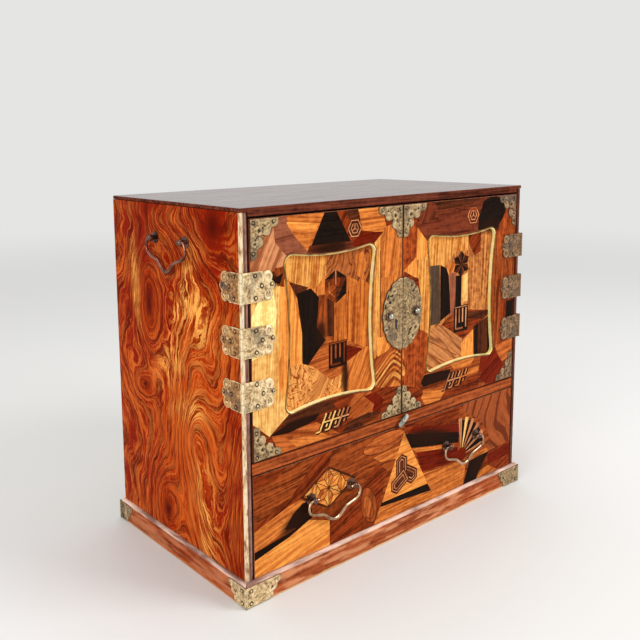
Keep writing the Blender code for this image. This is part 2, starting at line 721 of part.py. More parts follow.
def turn_catch(root, pivot, materials):
    """A round-ended bar that turns on a headed pin, to hold both doors from below."""
    half = (CATCH_LENGTH - CATCH_WIDTH) / 2
    radius = CATCH_WIDTH / 2
    outline = [*arc((0, half), radius, 0, math.pi, 6), *arc((0, -half), radius, math.pi, 2 * math.pi, 6)]
    lean = Matrix.Rotation(-CATCH_TILT, 2)
    leaning = [lean @ Vector(point) for point in outline]
    drawn = [(x, CATCH_LEVEL + z) for x, z in leaning]
    back_y = FRONT - CATCH_STANDOFF
    front_y = back_y - CATCH_THICK
    bar = add_mesh("turn_catch", prism(drawn, "Y", front_y, back_y), pivot, materials["steel"])
    hole = [(0, y, CATCH_LEVEL) for y in (front_y - CATCH_THICK, back_y + CATCH_THICK)]
    cut(bar, rod(CATCH_PIN_RADIUS + HOLE_CLEARANCE, *hole), pivot)
    collar = CATCH_STANDOFF - GLUE_GAP
    head = CATCH_STANDOFF + CATCH_THICK + GLUE_GAP
    profile = [
        (CATCH_PIN_RADIUS, -CATCH_PIN_DEPTH),
        (CATCH_PIN_RADIUS, GLUE_GAP),
        (CATCH_HEAD_RADIUS, GLUE_GAP),
        (CATCH_HEAD_RADIUS, collar),
        (CATCH_PIN_RADIUS, collar),
        (CATCH_PIN_RADIUS, head),
        (CATCH_HEAD_RADIUS, head),
        (CATCH_HEAD_RADIUS * 0.7, head + CATCH_HEAD_THICK * 0.8),
        (0, head + CATCH_HEAD_THICK),
    ]
    pin = turned(profile, (0, FRONT, CATCH_LEVEL), (0, -1, 0), ROUND_SIDES)
    add_mesh("turn_catch_pin", pin, root, materials["steel"], smooth=True)


def drawer(pivot, materials):
    """The drawer box: the sides lap into the front, and the bottom slides in grooves below the back."""
    side_high = DRAWER_HIGH - DRAWER_SIDE_DROP
    front_back = FRONT + DRAWER_FRONT_THICK
    lap_y = front_back - DRAWER_LAP
    rear = BACK - BACK_THICK - DRAWER_REAR_GAP
    inner = DRAWER_HALF - DRAWER_SIDE_THICK
    floor = DRAWER_LOW + DRAWER_BOTTOM_RAISE
    ceiling = floor + DRAWER_BOTTOM_THICK
    front = add_mesh(
        "drawer_front",
        box((-DRAWER_HALF, FRONT, DRAWER_LOW), (DRAWER_HALF, front_back, DRAWER_HIGH)),
        pivot,
        materials["marquetry_wood"],
    )
    groove = box(
        (-inner - GROOVE_DEPTH, front_back - GROOVE_DEPTH, floor - GLUE_GAP),
        (inner + GROOVE_DEPTH, front_back + GROOVE_DEPTH, ceiling + GLUE_GAP),
    )
    cut(front, groove, pivot)
    for side in (-1, 1):
        outer = side * DRAWER_HALF
        wall = side * inner
        past = side * (DRAWER_HALF + DRAWER_SIDE_THICK)
        slack = wall - side * GLUE_GAP
        rebate_x = sorted((slack, past))
        rebate = box(
            (rebate_x[0], lap_y - GLUE_GAP, DRAWER_LOW - DRAWER_LAP),
            (rebate_x[1], front_back + DRAWER_LAP, side_high + GLUE_GAP),
        )
        cut(front, rebate, pivot)
        edges = sorted((outer, wall))
        name = "drawer_left_side" if side < 0 else "drawer_right_side"
        board = add_mesh(
            name,
            box((edges[0], lap_y, DRAWER_LOW), (edges[1], rear, side_high)),
            pivot,
            materials["inner_wood"],
        )
        groove_x = sorted((wall - side * GROOVE_DEPTH, wall + side * GROOVE_DEPTH))
        slot = box(
            (groove_x[0], lap_y - DRAWER_LAP, floor - GLUE_GAP),
            (groove_x[1], rear + DRAWER_LAP, ceiling + GLUE_GAP),
        )
        cut(board, slot, pivot)
        for end in (-1, 1):
            x = side * DRAWER_BAIL_OFFSET + end * DRAWER_BAIL_SPAN / 2
            start = Vector((x, FRONT - DRAWER_FRONT_THICK, DRAWER_BAIL_LEVEL))
            stop = Vector((x, FRONT + POST_SHANK_DEPTH + HOLE_CLEARANCE, DRAWER_BAIL_LEVEL))
            cut(front, rod(POST_SHANK_RADIUS + HOLE_CLEARANCE, start, stop), pivot)
    fit = inner - GLUE_GAP
    back_low = ceiling + GLUE_GAP
    add_mesh(
        "drawer_back",
        box((-fit, rear - DRAWER_BACK_THICK, back_low), (fit, rear, side_high)),
        pivot,
        materials["inner_wood"],
    )
    reach = inner + GROOVE_DEPTH - GLUE_GAP
    add_mesh(
        "drawer_bottom",
        box((-reach, front_back - GROOVE_DEPTH + GLUE_GAP, floor), (reach, rear, ceiling)),
        pivot,
        materials["inner_wood"],
    )


def bail_path(span, shoulder, drop):
    """The bail's centre line as points (along the span, below the posts) and radii: out through
    the eye of one post, over a round shoulder, in to a waist, round the belly and back."""
    half = span / 2
    shoulder_shares = ((0.83, 0.08), (1.0, 0.24), (0.80, 0.42), (0.15, 0.54))
    belly_shares = ((0.88, 0.585), (0.72, 0.63), (0.55, 0.685), (0.38, 0.82), (0.20, 0.955), (0, 1))
    right = [
        Vector((half - EYE_RADIUS - BAIL_END_STUB, 0)),
        Vector((half, 0)),
        Vector((half + EYE_RADIUS + KNUCKLE_GAP, 0)),
    ]
    right += [Vector((half + shoulder * out, -drop * down)) for out, down in shoulder_shares]
    right += [Vector((half * share, -drop * down)) for share, down in belly_shares]
    line = smooth(right + [Vector((-p.x, p.y)) for p in reversed(right[:-1])])
    swell = BAIL_BELLY_RADIUS - BAIL_END_RADIUS
    radii = []
    for point in line:
        share = min(max(-point.y / drop, 0), 1)
        radii.append(BAIL_END_RADIUS + swell * share * share * (3 - 2 * share))
    return line, radii


def bail_handle(name, middle, along, out, sizes, pivot, carrier, materials):
    """A bail that hangs in the eyes of two posts. middle is the point between the eyes, along
    the way from post to post, out the way that the posts stand, sizes the bail's own sizes."""
    line, radii = bail_path(*sizes)
    curve = bpy.data.curves.new(name, "CURVE")
    curve.dimensions = "3D"
    curve.bevel_depth = 1.0
    curve.bevel_resolution = 1
    curve.use_fill_caps = True
    spline = curve.splines.new("POLY")
    spline.points.add(len(line) - 1)
    for target, point, radius in zip(spline.points, line, radii):
        place = middle + along * point.x + Vector((0, 0, point.y))
        target.co = (*place, 1)
        target.radius = radius
    add_object(name, curve, pivot, materials["bronze"])
    for end, word in ((-1, "first"), (1, "second")):
        foot = middle + along * (end * sizes[0] / 2) - out * EYE_STANDOFF
        bail_post(f"{name}_{word}_post", foot, along, out, carrier, materials)


def bail_post(name, foot, along, out, pivot, materials):
    """A post with a rosette against the face and a ball-shaped eye, its shank in the wood."""
    profile = [
        (POST_SHANK_RADIUS, -POST_SHANK_DEPTH),
        (POST_SHANK_RADIUS, GLUE_GAP),
        (ROSETTE_RADIUS, GLUE_GAP),
        (ROSETTE_RADIUS * 0.8, ROSETTE_THICK),
        (POST_RADIUS, ROSETTE_THICK * 1.2),
    ]
    neck = math.acos(POST_RADIUS / EYE_RADIUS)
    for angle in (-neck, -neck / 2, 0, math.pi / 6, math.pi / 3):
        profile.append((EYE_RADIUS * math.cos(angle), EYE_STANDOFF + EYE_RADIUS * math.sin(angle)))
    profile.append((0, EYE_STANDOFF + EYE_RADIUS))
    post = turned(profile, foot, out, ROUND_SIDES)
    made = add_mesh(name, post, pivot, materials["bronze"], smooth=True)
    eye = foot + out * EYE_STANDOFF
    reach = along * EYE_RADIUS * 2
    cut(made, rod(EYE_BORE, eye - reach, eye + reach), pivot)


def bails(root, drawer_pivot, materials):
    drawer_sizes = (DRAWER_BAIL_SPAN, DRAWER_BAIL_SHOULDER, DRAWER_BAIL_DROP)
    side_sizes = (SIDE_BAIL_SPAN, SIDE_BAIL_SHOULDER, SIDE_BAIL_DROP)
    for side, word in ((-1, "left"), (1, "right")):
        middle = Vector((side * DRAWER_BAIL_OFFSET, EYE_Y, DRAWER_BAIL_LEVEL))
        pivot = add_pivot(f"drawer_{word}_bail_axis", middle, drawer_pivot)
        out, along = Vector((0, -1, 0)), Vector((1, 0, 0))
        bail_handle(f"drawer_{word}_bail", middle, along, out, drawer_sizes, pivot, drawer_pivot, materials)
        middle = Vector((side * EYE_X, 0, SIDE_BAIL_LEVEL))
        pivot = add_pivot(f"{word}_carry_bail_axis", middle, root)
        out, along = Vector((side, 0, 0)), Vector((0, 1, 0))
        bail_handle(f"{word}_carry_bail", middle, along, out, side_sizes, pivot, root, materials)


def main():
    clear_scene()
    materials = make_materials()
    root = add_pivot("cabinet", (0, 0, 0))
    root.location.y = ORIGIN_SHIFT
    carcass(root, materials)
    plinth(root, materials)
    door_pivots = {}
    for side, word in ((-1, "left"), (1, "right")):
        pivot = add_pivot(f"{word}_door_axis", (side * HINGE_X, HINGE_Y, DOOR_LEVEL), root)
        door_pivots[word] = pivot
        door(side, pivot, materials)
        for level_name in HINGE_LEVELS:
            hinge(side, level_name, root, pivot, materials)
    bolt_at = (-DOOR_INNER - LOCK_CASE_INSET, DOOR_BACK, LOCK_LEVEL)
    bolt_pivot = add_pivot("lock_bolt_axis", bolt_at, door_pivots["left"])
    lock(door_pivots["left"], bolt_pivot, materials)
    catch_pivot = add_pivot("turn_catch_axis", (0, FRONT, CATCH_LEVEL), root)
    turn_catch(root, catch_pivot, materials)
    drawer_pivot = add_pivot("drawer_axis", (0, FRONT, DRAWER_LOW), root)
    drawer(drawer_pivot, materials)
    bails(root, drawer_pivot, materials)


main()
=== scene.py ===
"""Looks of the tansu cabinet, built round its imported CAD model.

Drawings on the cabinet's faces are in millimetres: x to the right and z up on the front, and a towards
the front and z up on the left side. What is sent to Blender is in metres.
"""

import json
import math
import random
from fnmatch import fnmatch

import bmesh
import bpy
import numpy as np
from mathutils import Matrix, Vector
from mathutils.geometry import delaunay_2d_cdt


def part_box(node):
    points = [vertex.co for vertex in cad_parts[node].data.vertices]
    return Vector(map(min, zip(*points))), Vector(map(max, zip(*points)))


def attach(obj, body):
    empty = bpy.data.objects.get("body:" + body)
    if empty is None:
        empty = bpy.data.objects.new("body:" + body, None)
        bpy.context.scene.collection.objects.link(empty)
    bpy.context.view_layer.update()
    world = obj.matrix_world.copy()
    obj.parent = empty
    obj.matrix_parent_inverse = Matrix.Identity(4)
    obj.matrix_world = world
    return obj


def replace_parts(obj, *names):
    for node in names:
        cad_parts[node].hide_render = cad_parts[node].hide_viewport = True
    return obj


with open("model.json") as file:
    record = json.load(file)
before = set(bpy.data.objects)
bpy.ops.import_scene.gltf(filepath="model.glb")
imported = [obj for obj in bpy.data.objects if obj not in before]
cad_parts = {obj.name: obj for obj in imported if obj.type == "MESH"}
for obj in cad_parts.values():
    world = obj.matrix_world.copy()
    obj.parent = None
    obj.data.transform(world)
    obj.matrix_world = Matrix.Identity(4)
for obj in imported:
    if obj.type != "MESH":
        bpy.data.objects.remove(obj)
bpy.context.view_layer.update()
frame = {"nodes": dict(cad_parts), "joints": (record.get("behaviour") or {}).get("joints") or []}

MM = 0.001
SIDES = (("left", -1), ("right", 1))
HINGE_LEVELS = ("top", "middle", "bottom")
X_WAY, Y_WAY, Z_WAY = Vector((1, 0, 0)), Vector((0, 1, 0)), Vector((0, 0, 1))
JOINT_PLACES = {joint["name"]: Vector(joint["pos_m"]) for joint in frame["joints"] if "pos_m" in joint}
MATERIALS = {}

# Faces that the trim sits on, in metres
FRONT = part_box("drawer_front")[0].y
PANEL_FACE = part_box("left_door_panel")[0].y
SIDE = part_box("right_side_panel")[1].x
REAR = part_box("right_side_panel")[1].y
MIDDLE_Y = (FRONT + REAR) / 2

# Camera, fitted to the photo's edges
CAMERA_AT = (-0.58784, -0.63359 + MIDDLE_Y, 0.41193)
CAMERA_TURN = (81.854, 0.733, -39.247)
CAMERA_LENS = 44.55
CAMERA_SENSOR = 36.0
CAMERA_SHIFT = (0.0686, -0.1089)

# Background and light: a lamp's place, size and power. All lamps aim at the cabinet's middle
FLOOR_COLOUR = (0.70, 0.70, 0.69, 1)
FLOOR_REACH = 12.0
BACKGROUND = (0.78, 0.78, 0.77, 1)
WORLD_COLOUR = (1.0, 0.99, 0.97, 1)
WORLD_STRENGTH = 0.62
LAMP_AIM = Vector((0, 0, 0.17))
LAMPS = {
    "key": ((1.1, -1.5, 1.5), 1.1, 30.0),
    "side": ((-1.9, -0.5, 1.1), 1.2, 19.0),
    "top": ((0.1, 0.3, 2.2), 1.6, 14.0),
}

# Veneer: thickness, and how far its edges keep from the edges of the wood, in mm
VENEER = 0.15
VENEER_MARGIN = 0.5
GRAIN_SCALE = 0.01
CDT_EPSILON = 1e-5

# A door panel lies behind the frame: its drawing, read off in the frame's plane, moves back to it, in mm
PANEL_SHIFT = (4.1, -2.0)

# Species: light and dark colour (sRGB), growth rings in 100 mm, the shares of bands, thin lines, mottle and
# streaks, how far the rings wander, in 100 mm, and how often
SPECIES = {
    "tawny": ((208, 110, 50), (130, 56, 21), 14, 0.50, 0.45, 0.30, 0.60, 0.40, 1.0),
    "amber": ((232, 136, 60), (152, 72, 28), 14, 0.45, 0.40, 0.28, 0.62, 0.30, 1.0),
    "honey": ((254, 170, 80), (202, 110, 44), 14, 0.45, 0.40, 0.28, 0.62, 0.30, 1.0),
    "gold": ((242, 174, 88), (172, 88, 32), 20, 1.00, 0.25, 0.34, 0.70, 0.12, 1.2),
    "straw": ((255, 208, 124), (200, 128, 56), 16, 0.75, 0.25, 0.40, 0.45, 0.14, 1.0),
    "sunlit": ((255, 250, 170), (242, 190, 104), 10, 0.60, 0.25, 0.70, 0.40, 0.30, 1.2),
    "stripe": ((228, 130, 54), (128, 50, 15), 26, 1.60, 0.25, 0.25, 0.60, 0.08, 1.0),
    "curl": ((252, 174, 92), (146, 66, 22), 36, 0.40, 0.80, 0.25, 0.40, 0.50, 2.8),
    "swirl": ((194, 108, 54), (96, 42, 16), 30, 0.45, 0.75, 0.25, 0.45, 0.80, 1.8),
    "arc": ((172, 86, 44), (106, 46, 22), 17, 0.40, 0.95, 0.10, 0.40, 0.12, 1.0),
    "russet": ((174, 82, 34), (92, 36, 12), 14, 0.55, 0.45, 0.28, 0.62, 0.45, 1.0),
    "red": ((154, 62, 23), (78, 25, 8), 12, 0.50, 0.40, 0.28, 0.62, 0.40, 1.0),
    "cherry": ((130, 36, 12), (78, 16, 5), 8, 0.40, 0.20, 0.20, 0.50, 0.30, 1.0),
    "mauve": ((166, 96, 66), (108, 52, 34), 12, 0.50, 0.40, 0.25, 0.50, 0.30, 1.0),
    "wine": ((132, 60, 36), (74, 28, 15), 12, 0.50, 0.40, 0.25, 0.50, 0.40, 1.0),
    "tan": ((212, 138, 80), (138, 76, 40), 12, 0.50, 0.65, 0.25, 0.55, 0.30, 1.0),
    "rose": ((222, 150, 100), (150, 82, 48), 9, 0.50, 0.65, 0.25, 0.55, 0.35, 1.0),
    "mottle": ((222, 144, 76), (130, 62, 24), 24, 0.75, 0.10, 0.55, 0.65, 0.10, 1.0),
    "burl": ((190, 88, 36), (112, 38, 13), 7, 0.30, 0.20, 0.60, 0.50, 0.30, 1.0),
    "umber": ((104, 50, 27), (48, 20, 9), 10, 0.40, 0.20, 0.25, 0.50, 0.30, 1.0),
    "smoke": ((100, 76, 58), (58, 44, 35), 8, 0.35, 0.10, 0.20, 0.40, 0.20, 1.0),
    "ebony": ((38, 25, 19), (16, 10, 7), 8, 0.35, 0.10, 0.20, 0.40, 0.20, 1.0),
}

LACQUER = {"Roughness": 0.26, "Specular IOR Level": 0.012}
POLISH = {"Roughness": 0.30, "Specular IOR Level": 0.50, "Coat Weight": 0.45, "Coat Roughness": 0.12}
PLAIN = {"Roughness": 0.62, "Specular IOR Level": 0.25}
AGED_BRASS = {"Metallic": 0.45, "Specular IOR Level": 0.35}
GILDING = {"Metallic": 0.1, "Roughness": 0.34, "Specular IOR Level": 0.12}

# Plain woods: light and dark colour, axes along, across and through the grain, growth rings, finish
INNER_WOOD = ((206, 172, 128), (164, 126, 84))
PLAIN_WOODS = {
    "rail_wood": ((186, 94, 46), (112, 46, 21), "XZY", 12, LACQUER),
    "door_wood": ((150, 84, 50), (96, 46, 26), "ZXY", 12, PLAIN),
    "inner_wood": (*INNER_WOOD, "XZY", 14, PLAIN),
    "inner_side_wood": (*INNER_WOOD, "YZX", 14, PLAIN),
}
# Plinth woods: the same without rings and finish, and how far scuffed; this also scales the painted foot
# highlight
PLINTH_WOODS = {
    "plinth_wood_along": ((188, 96, 54), (116, 48, 25), "XZY", 0.70),
    "plinth_wood_across": ((176, 82, 42), (112, 44, 22), "YZX", 0.35),
}
# Metals: dark and light colour, metallic share, roughness, scale of the patina
METALS = {
    "bronze": ((118, 82, 58), (214, 180, 146), 1.0, 0.20, 60.0),
    "old_bronze": ((72, 36, 28), (160, 108, 88), 1.0, 0.24, 60.0),
    "dark_bronze": ((58, 40, 34), (120, 88, 74), 0.9, 0.26, 60.0),
    "steel": ((120, 118, 106), (206, 204, 190), 1.0, 0.33, 220.0),
    # The keyhole's opening, in painted shade
    "keyhole_dark": ((14, 11, 9), (26, 20, 16), 0.0, 0.70, 220.0),
}
# Brasses: colours by patina, from dull to bright
OLD_BRASS = ((0.25, (88, 68, 46)), (0.42, (142, 114, 76)), (0.60, (174, 144, 100)), (0.78, (208, 180, 134)))
WARM_BRASS = ((0.25, (90, 58, 28)), (0.42, (152, 102, 52)), (0.60, (186, 132, 76)), (0.78, (222, 172, 112)))
# A copy of the old brass, made paler as painted light
PAINTED_LIGHT_BRASS = (
    (0.25, (132, 106, 72)), (0.40, (200, 168, 120)), (0.58, (230, 200, 150)), (0.76, (250, 230, 188)),
)
# A copy of the old brass, made darker as painted shade
PAINTED_SHADE_BRASS = ((0.25, (62, 40, 26)), (0.42, (106, 74, 46)), (0.60, (138, 102, 66)), (0.78, (176, 140, 98)))
CHASED_BRASSES = {
    "chased_brass": OLD_BRASS,
    "warm_chased_brass": WARM_BRASS,
    "pale_chased_brass": PAINTED_LIGHT_BRASS,
    "dark_chased_brass": PAINTED_SHADE_BRASS,
}
# Plain brasses: the same, and the colour of the painted highlight along their barrels
PLAIN_BRASSES = {
    "plain_brass": (PAINTED_LIGHT_BRASS, (240, 226, 192)),
    "plain_dark_brass": (PAINTED_SHADE_BRASS, (132, 102, 72)),
}

# Material of each CAD node that shows, by its name, and how far its edges are rounded, in mm
LOOKS = (
    ("left_side_panel", "figured_side_left", 0.4),
    ("right_side_panel", "figured_side_right", 0.4),
    ("top_board", "top_wood", 0.8),
    ("divider_board", "rail_wood", 0.7),
    ("plinth_[fb]*_rail", "plinth_wood_along", 0.7),
    ("plinth_[lr]*_rail", "plinth_wood_across", 0.7),
    ("*_door_frame", "door_wood", 0.4),
    ("*_door_panel", "door_wood", 0),
    ("*_door_bead", "gilt", 0),
    ("drawer_front", "door_wood", 0.5),
    ("drawer_*_side", "inner_side_wood", 0),
    ("drawer_b[ao]*", "inner_wood", 0),
    ("back_panel", "inner_wood", 0),
    ("bottom_board", "inner_wood", 0),
    ("shelf_board", "inner_wood", 0),
    ("*_lock_plate", "plain_brass", 0),
    ("*_pull_stud", "bronze", 0),
    # Left leaves take brass with painted light, right leaves brass in painted shade
    ("left_*_leaf", "plain_brass", 0.15),
    ("right_*_leaf", "plain_dark_brass", 0.15),
    ("*_pin", "steel", 0),
    ("lock_*", "steel", 0),
    ("turn_catch", "steel", 0.5),
)


def linear(colour):
    """An sRGB colour of 0 to 255 as the linear colour that a shader takes."""
    parts = [c / 255 for c in colour]
    return (*[c / 12.92 if c <= 0.04045 else ((c + 0.055) / 1.055) ** 2.4 for c in parts], 1)


class Value:
    """A node's output. Sums, differences and products of it are more nodes."""

    def __init__(self, nodes, socket):
        self.nodes = nodes
        self.socket = socket

    def math(self, operation, *others):
        return self.nodes.node("Math", dict(enumerate((self, *others))), operation=operation)

    def __add__(self, other):
        return self.math("ADD", other)

    def __sub__(self, other):
        return self.math("SUBTRACT", other)

    def __mul__(self, other):
        return self.math("MULTIPLY", other)

    def __abs__(self):
        return self.math("ABSOLUTE")

    def rise(self, low, high):
        """0 below low, 1 above high, smooth between. With low above high it falls instead."""
        ends = (low, high, 0.0, 1.0) if low < high else (high, low, 1.0, 0.0)
        limits = dict(zip(("From Min", "From Max", "To Min", "To Max"), ends))
        return self.nodes.node("MapRange", {"Value": self, **limits}, interpolation_type="SMOOTHSTEP")


class Nodes:
    """A node tree, with short calls that add to it."""

    def __init__(self, tree):
        self.tree = tree

    def add(self, kind, inputs, **settings):
        made = self.tree.nodes.new("ShaderNode" + kind)
        for key, value in settings.items():
            setattr(made, key, value)
        for key, value in inputs.items():
            self.feed(made.inputs[key], value)
        return made

    def node(self, kind, inputs, output=0, **settings):
        return Value(self, self.add(kind, inputs, **settings).outputs[output])

    def feed(self, socket, value):
        """Links a node's output, or sets a number, a linear colour of four parts or an sRGB one of three."""
        if isinstance(value, Value):
            self.tree.links.new(value.socket, socket)
        else:
            is_srgb = isinstance(value, tuple) and len(value) == 3
            socket.default_value = linear(value) if is_srgb else value


class Shader(Nodes):
    """A material. Its place is the point on the object in metres, which is also its place at rest."""

    def __init__(self, name, finish):
        MATERIALS[name] = bpy.data.materials.new(name)
        MATERIALS[name].use_nodes = True
        super().__init__(MATERIALS[name].node_tree)
        self.surface = self.tree.nodes["Principled BSDF"]
        for socket, value in finish.items():
            self.put(socket, value)
        spot = self.add("TexCoord", {})
        self.place, self.normal = [Value(self, spot.outputs[key]) for key in ("Object", "Normal")]

    def put(self, socket, value):
        self.feed(self.surface.inputs[socket], value)

    def dress(self, colour, height, strength, distance):
        """Sets the colour, and a fine bump whose distance is in mm."""
        self.put("Base Color", colour)
        inputs = {"Height": height, "Strength": strength, "Distance": distance * MM}
        self.put("Normal", self.node("Bump", inputs))

    def split(self, vector):
        return [Value(self, output) for output in self.add("SeparateXYZ", {0: vector}).outputs]

    def join(self, x, y, z=0.0):
        return self.node("CombineXYZ", {0: x, 1: y, 2: z})

    def noise(self, vector, scale, detail=2.0, roughness=0.5, distortion=0.0):
        inputs = {"Scale": scale, "Detail": detail, "Roughness": roughness, "Distortion": distortion}
        return self.node("TexNoise", {"Vector": vector, **inputs})

    def stretched(self, parts, scales, detail=2.0):
        """Noise over coordinates that are each stretched by their own scale."""
        return self.noise(self.join(*[part * scale for part, scale in zip(parts, scales)]), 1.0, detail)

    def mix(self, factor, first, second):
        return self.node("Mix", {0: factor, 6: first, 7: second}, 2, data_type="RGBA")

    def ramp(self, value, stops):
        made = self.add("ValToRGB", {0: value})
        elements = made.color_ramp.elements
        while len(elements) < len(stops):
            elements.new(0.5)
        for element, (place, colour) in zip(elements, stops):
            element.position = place
            element.color = linear(colour)
        return Value(self, made.outputs[0])

    def hill(self, parts, a, b, wide, high, tilt):
        """A round hill of height 1 on the drawing: centre and radii in mm, tilt in degrees."""
        along, across = math.cos(math.radians(tilt)), math.sin(math.radians(tilt))
        from_a, from_b = parts[0] - a, parts[1] - b
        u = from_a * (along / wide) + from_b * (across / wide)
        v = from_b * (along / high) - from_a * (across / high)
        return ((u * u + v * v) * -1.0).math("EXPONENT")

    def hills(self, parts, spots):
        first, *others = [self.hill(parts, *spot) for spot in spots]
        return sum(others, first)


# Where the veneers are scorched dark by hot sand, on the front in mm: centre, radii, tilt
SCORCHED = (
    (-142, 62, 25, 10, 26), (44, 95, 46, 10, -12), (130, 38, 17, 13, 40), (-141, 154, 30, 6, 4),
    (56, 157, 30, 7, 0), (-96, 311, 26, 7, 0), (146, 312, 22, 9, 0), (-107, 232, 8, 15, 0),
    (-76, 184, 6, 22, 0), (-168, 289, 12, 8, 0),
)
SCORCH = (40, 20, 11)

# Figure of the side panels, in mm: centre a, z, radii, tilt, and how many rings a knot lifts
KNOTS = (
    (-43, 250, 24, 46, 2, 5.0), (-57, 163, 20, 14, 14, 2.2), (-20, 46, 26, 40, 0, 4.6),
    (46, 96, 34, 104, 6, 5.2), (24, 128, 20, 30, -18, 1.8), (60, 360, 46, 52, 0, 4.2),
    (-10, 338, 40, 18, 0, 1.5), (-96, 196, 30, 60, 0, 1.6), (122, 70, 36, 110, 0, 8.0),
)
# Dark red hearts of the knots, and zones of pale flame
HEARTS = ((-43, 252, 9, 22, 0), (-20, 44, 9, 15, 0), (-56, 165, 8, 5, 14), (70, 336, 14, 16, 0))
FLAMES = (
    (16, 262, 12, 50, -26), (44, 250, 20, 34, 12), (-2, 196, 24, 16, 30), (46, 66, 16, 52, 6),
    (26, 160, 26, 14, 22), (-70, 268, 7, 50, 2),
)
# Where the wood is a warmer orange, and where a darker red
WARM = ((30, 160, 60, 60, 0), (30, 60, 46, 60, 0), (40, 250, 40, 50, 0))
DARK = ((-60, 320, 60, 60, 0), (60, 330, 60, 34, 0), (96, 60, 26, 90, 0), (-100, 40, 14, 60, 0))
RED_WOOD = (138, 27, 2)
ORANGE_WOOD = (202, 78, 14)
LINE_WOOD = (78, 10, 0)
FLAME_WOOD = (248, 172, 82)
# Painted shadow in the gaps beside and above the doors
GAP_SHADE = (24, 13, 9)
# The right side's drawing is the left one's, upside down about this sum of levels, in mm
TURNED_LEVEL = 372.0
# Front stiles: light and dark colour, and how strong the pale strip along the corner is
LEFT_STILE = ((168, 124, 110), (92, 58, 50), 1.0)
# The right stile is a darker copy of the left one, in painted shade
RIGHT_STILE = ((120, 76, 60), (64, 38, 30), 0.2)


def grain(shader, parts, light, dark, rings, bands, lines, mottle, streaks, wander=0.42, often=1.0):
    """Colour and pores of wood. parts run along, across and through it, in 100 mm."""
    along, across, through = parts
    level = shader.stretched(parts, (0.9 * often, 2.2 * often, 2.2 * often)) * wander + across
    band = shader.stretched((along, level, through), (0.7, rings, rings))
    line = (band * 5.0 + level * (math.pi * rings)).math("SINE").rise(0.5, 1.0)
    streak = shader.stretched(parts, (1.3, 42.0, 42.0), 3.0).rise(0.34, 0.66)
    spot = shader.stretched(parts, (17.0, 15.0, 15.0), 3.0).rise(0.32, 0.68)
    pore = shader.stretched(parts, (9.0, 80.0, 80.0), 1.0).rise(0.56, 0.70)
    tone = band * (1.6 * bands) + (0.5 - 0.8 * bands + 0.2 * lines - (streaks + mottle) / 2)
    tone = tone - line * lines + streak * streaks + spot * mottle - pore * 0.38
    return shader.mix(tone, dark, light), pore


def species_wood(name):
    """A veneer wood, drawn along each tile's own grain and scorched in places."""
    shader = Shader(f"veneer_{name}", LACQUER)
    parts = shader.split(shader.node("UVMap", {}, uv_map="grain"))
    colour, pore = grain(shader, parts, *SPECIES[name])
    x, _, z = shader.split(shader.place)
    burn = shader.hills((x * 1000.0, z * 1000.0), SCORCHED).rise(0.22, 0.85)
    shader.dress(shader.mix(burn * 0.92, colour, SCORCH), pore, 0.15, 0.1)


def solid_grain(shader, light, dark, axes, rings):
    """Colour, pores and coordinates of solid wood. axes name those along, across and through the grain."""
    place = shader.split(shader.place)
    parts = [place["XYZ".index(axis)] * 10.0 for axis in axes]
    return *grain(shader, parts, light, dark, rings, 0.35, 0.25, 0.25, 0.65), parts


def plain_wood(name, light, dark, axes, rings, finish):
    shader = Shader(name, finish)
    colour, pore, _ = solid_grain(shader, light, dark, axes, rings)
    shader.dress(colour, pore, 0.2, 0.15)


def plinth_wood(name, light, dark, axes, wear_and_foot_highlight):
    """Plinth wood: scuffed pale in patches, with a painted highlight along its foot and on its grey, abraded
    sloping top edge.
    """
    shader = Shader(name, LACQUER)
    colour, pore, parts = solid_grain(shader, light, dark, axes, 12)
    patch = shader.stretched(parts, (3.0, 16.0, 16.0), 6.0)
    colour = shader.mix(patch.rise(0.46, 0.64) * wear_and_foot_highlight, colour, (226, 154, 108))
    height = shader.split(shader.place)[2] * 1000.0
    # Painted highlight along the plinth's foot
    foot = (patch * 5.0 + height).rise(5.0, 3.2) * wear_and_foot_highlight
    colour = shader.mix(foot, colour, (244, 206, 150))
    # The sloping top edge: abraded grey wood with a painted highlight
    worn_and_highlit = shader.ramp(patch, ((0.36, (142, 104, 92)), (0.58, (230, 196, 178))))
    shader.dress(shader.mix(height.rise(19.4, 20.4), colour, worn_and_highlit), pore, 0.2, 0.15)


def saw(value, start, end):
    """A line that darkens slowly and ends at once, as a growth ring does, one to each step of value."""
    part = value.math("FRACT")
    return part.rise(start, end) * part.rise(1.0, 0.95)


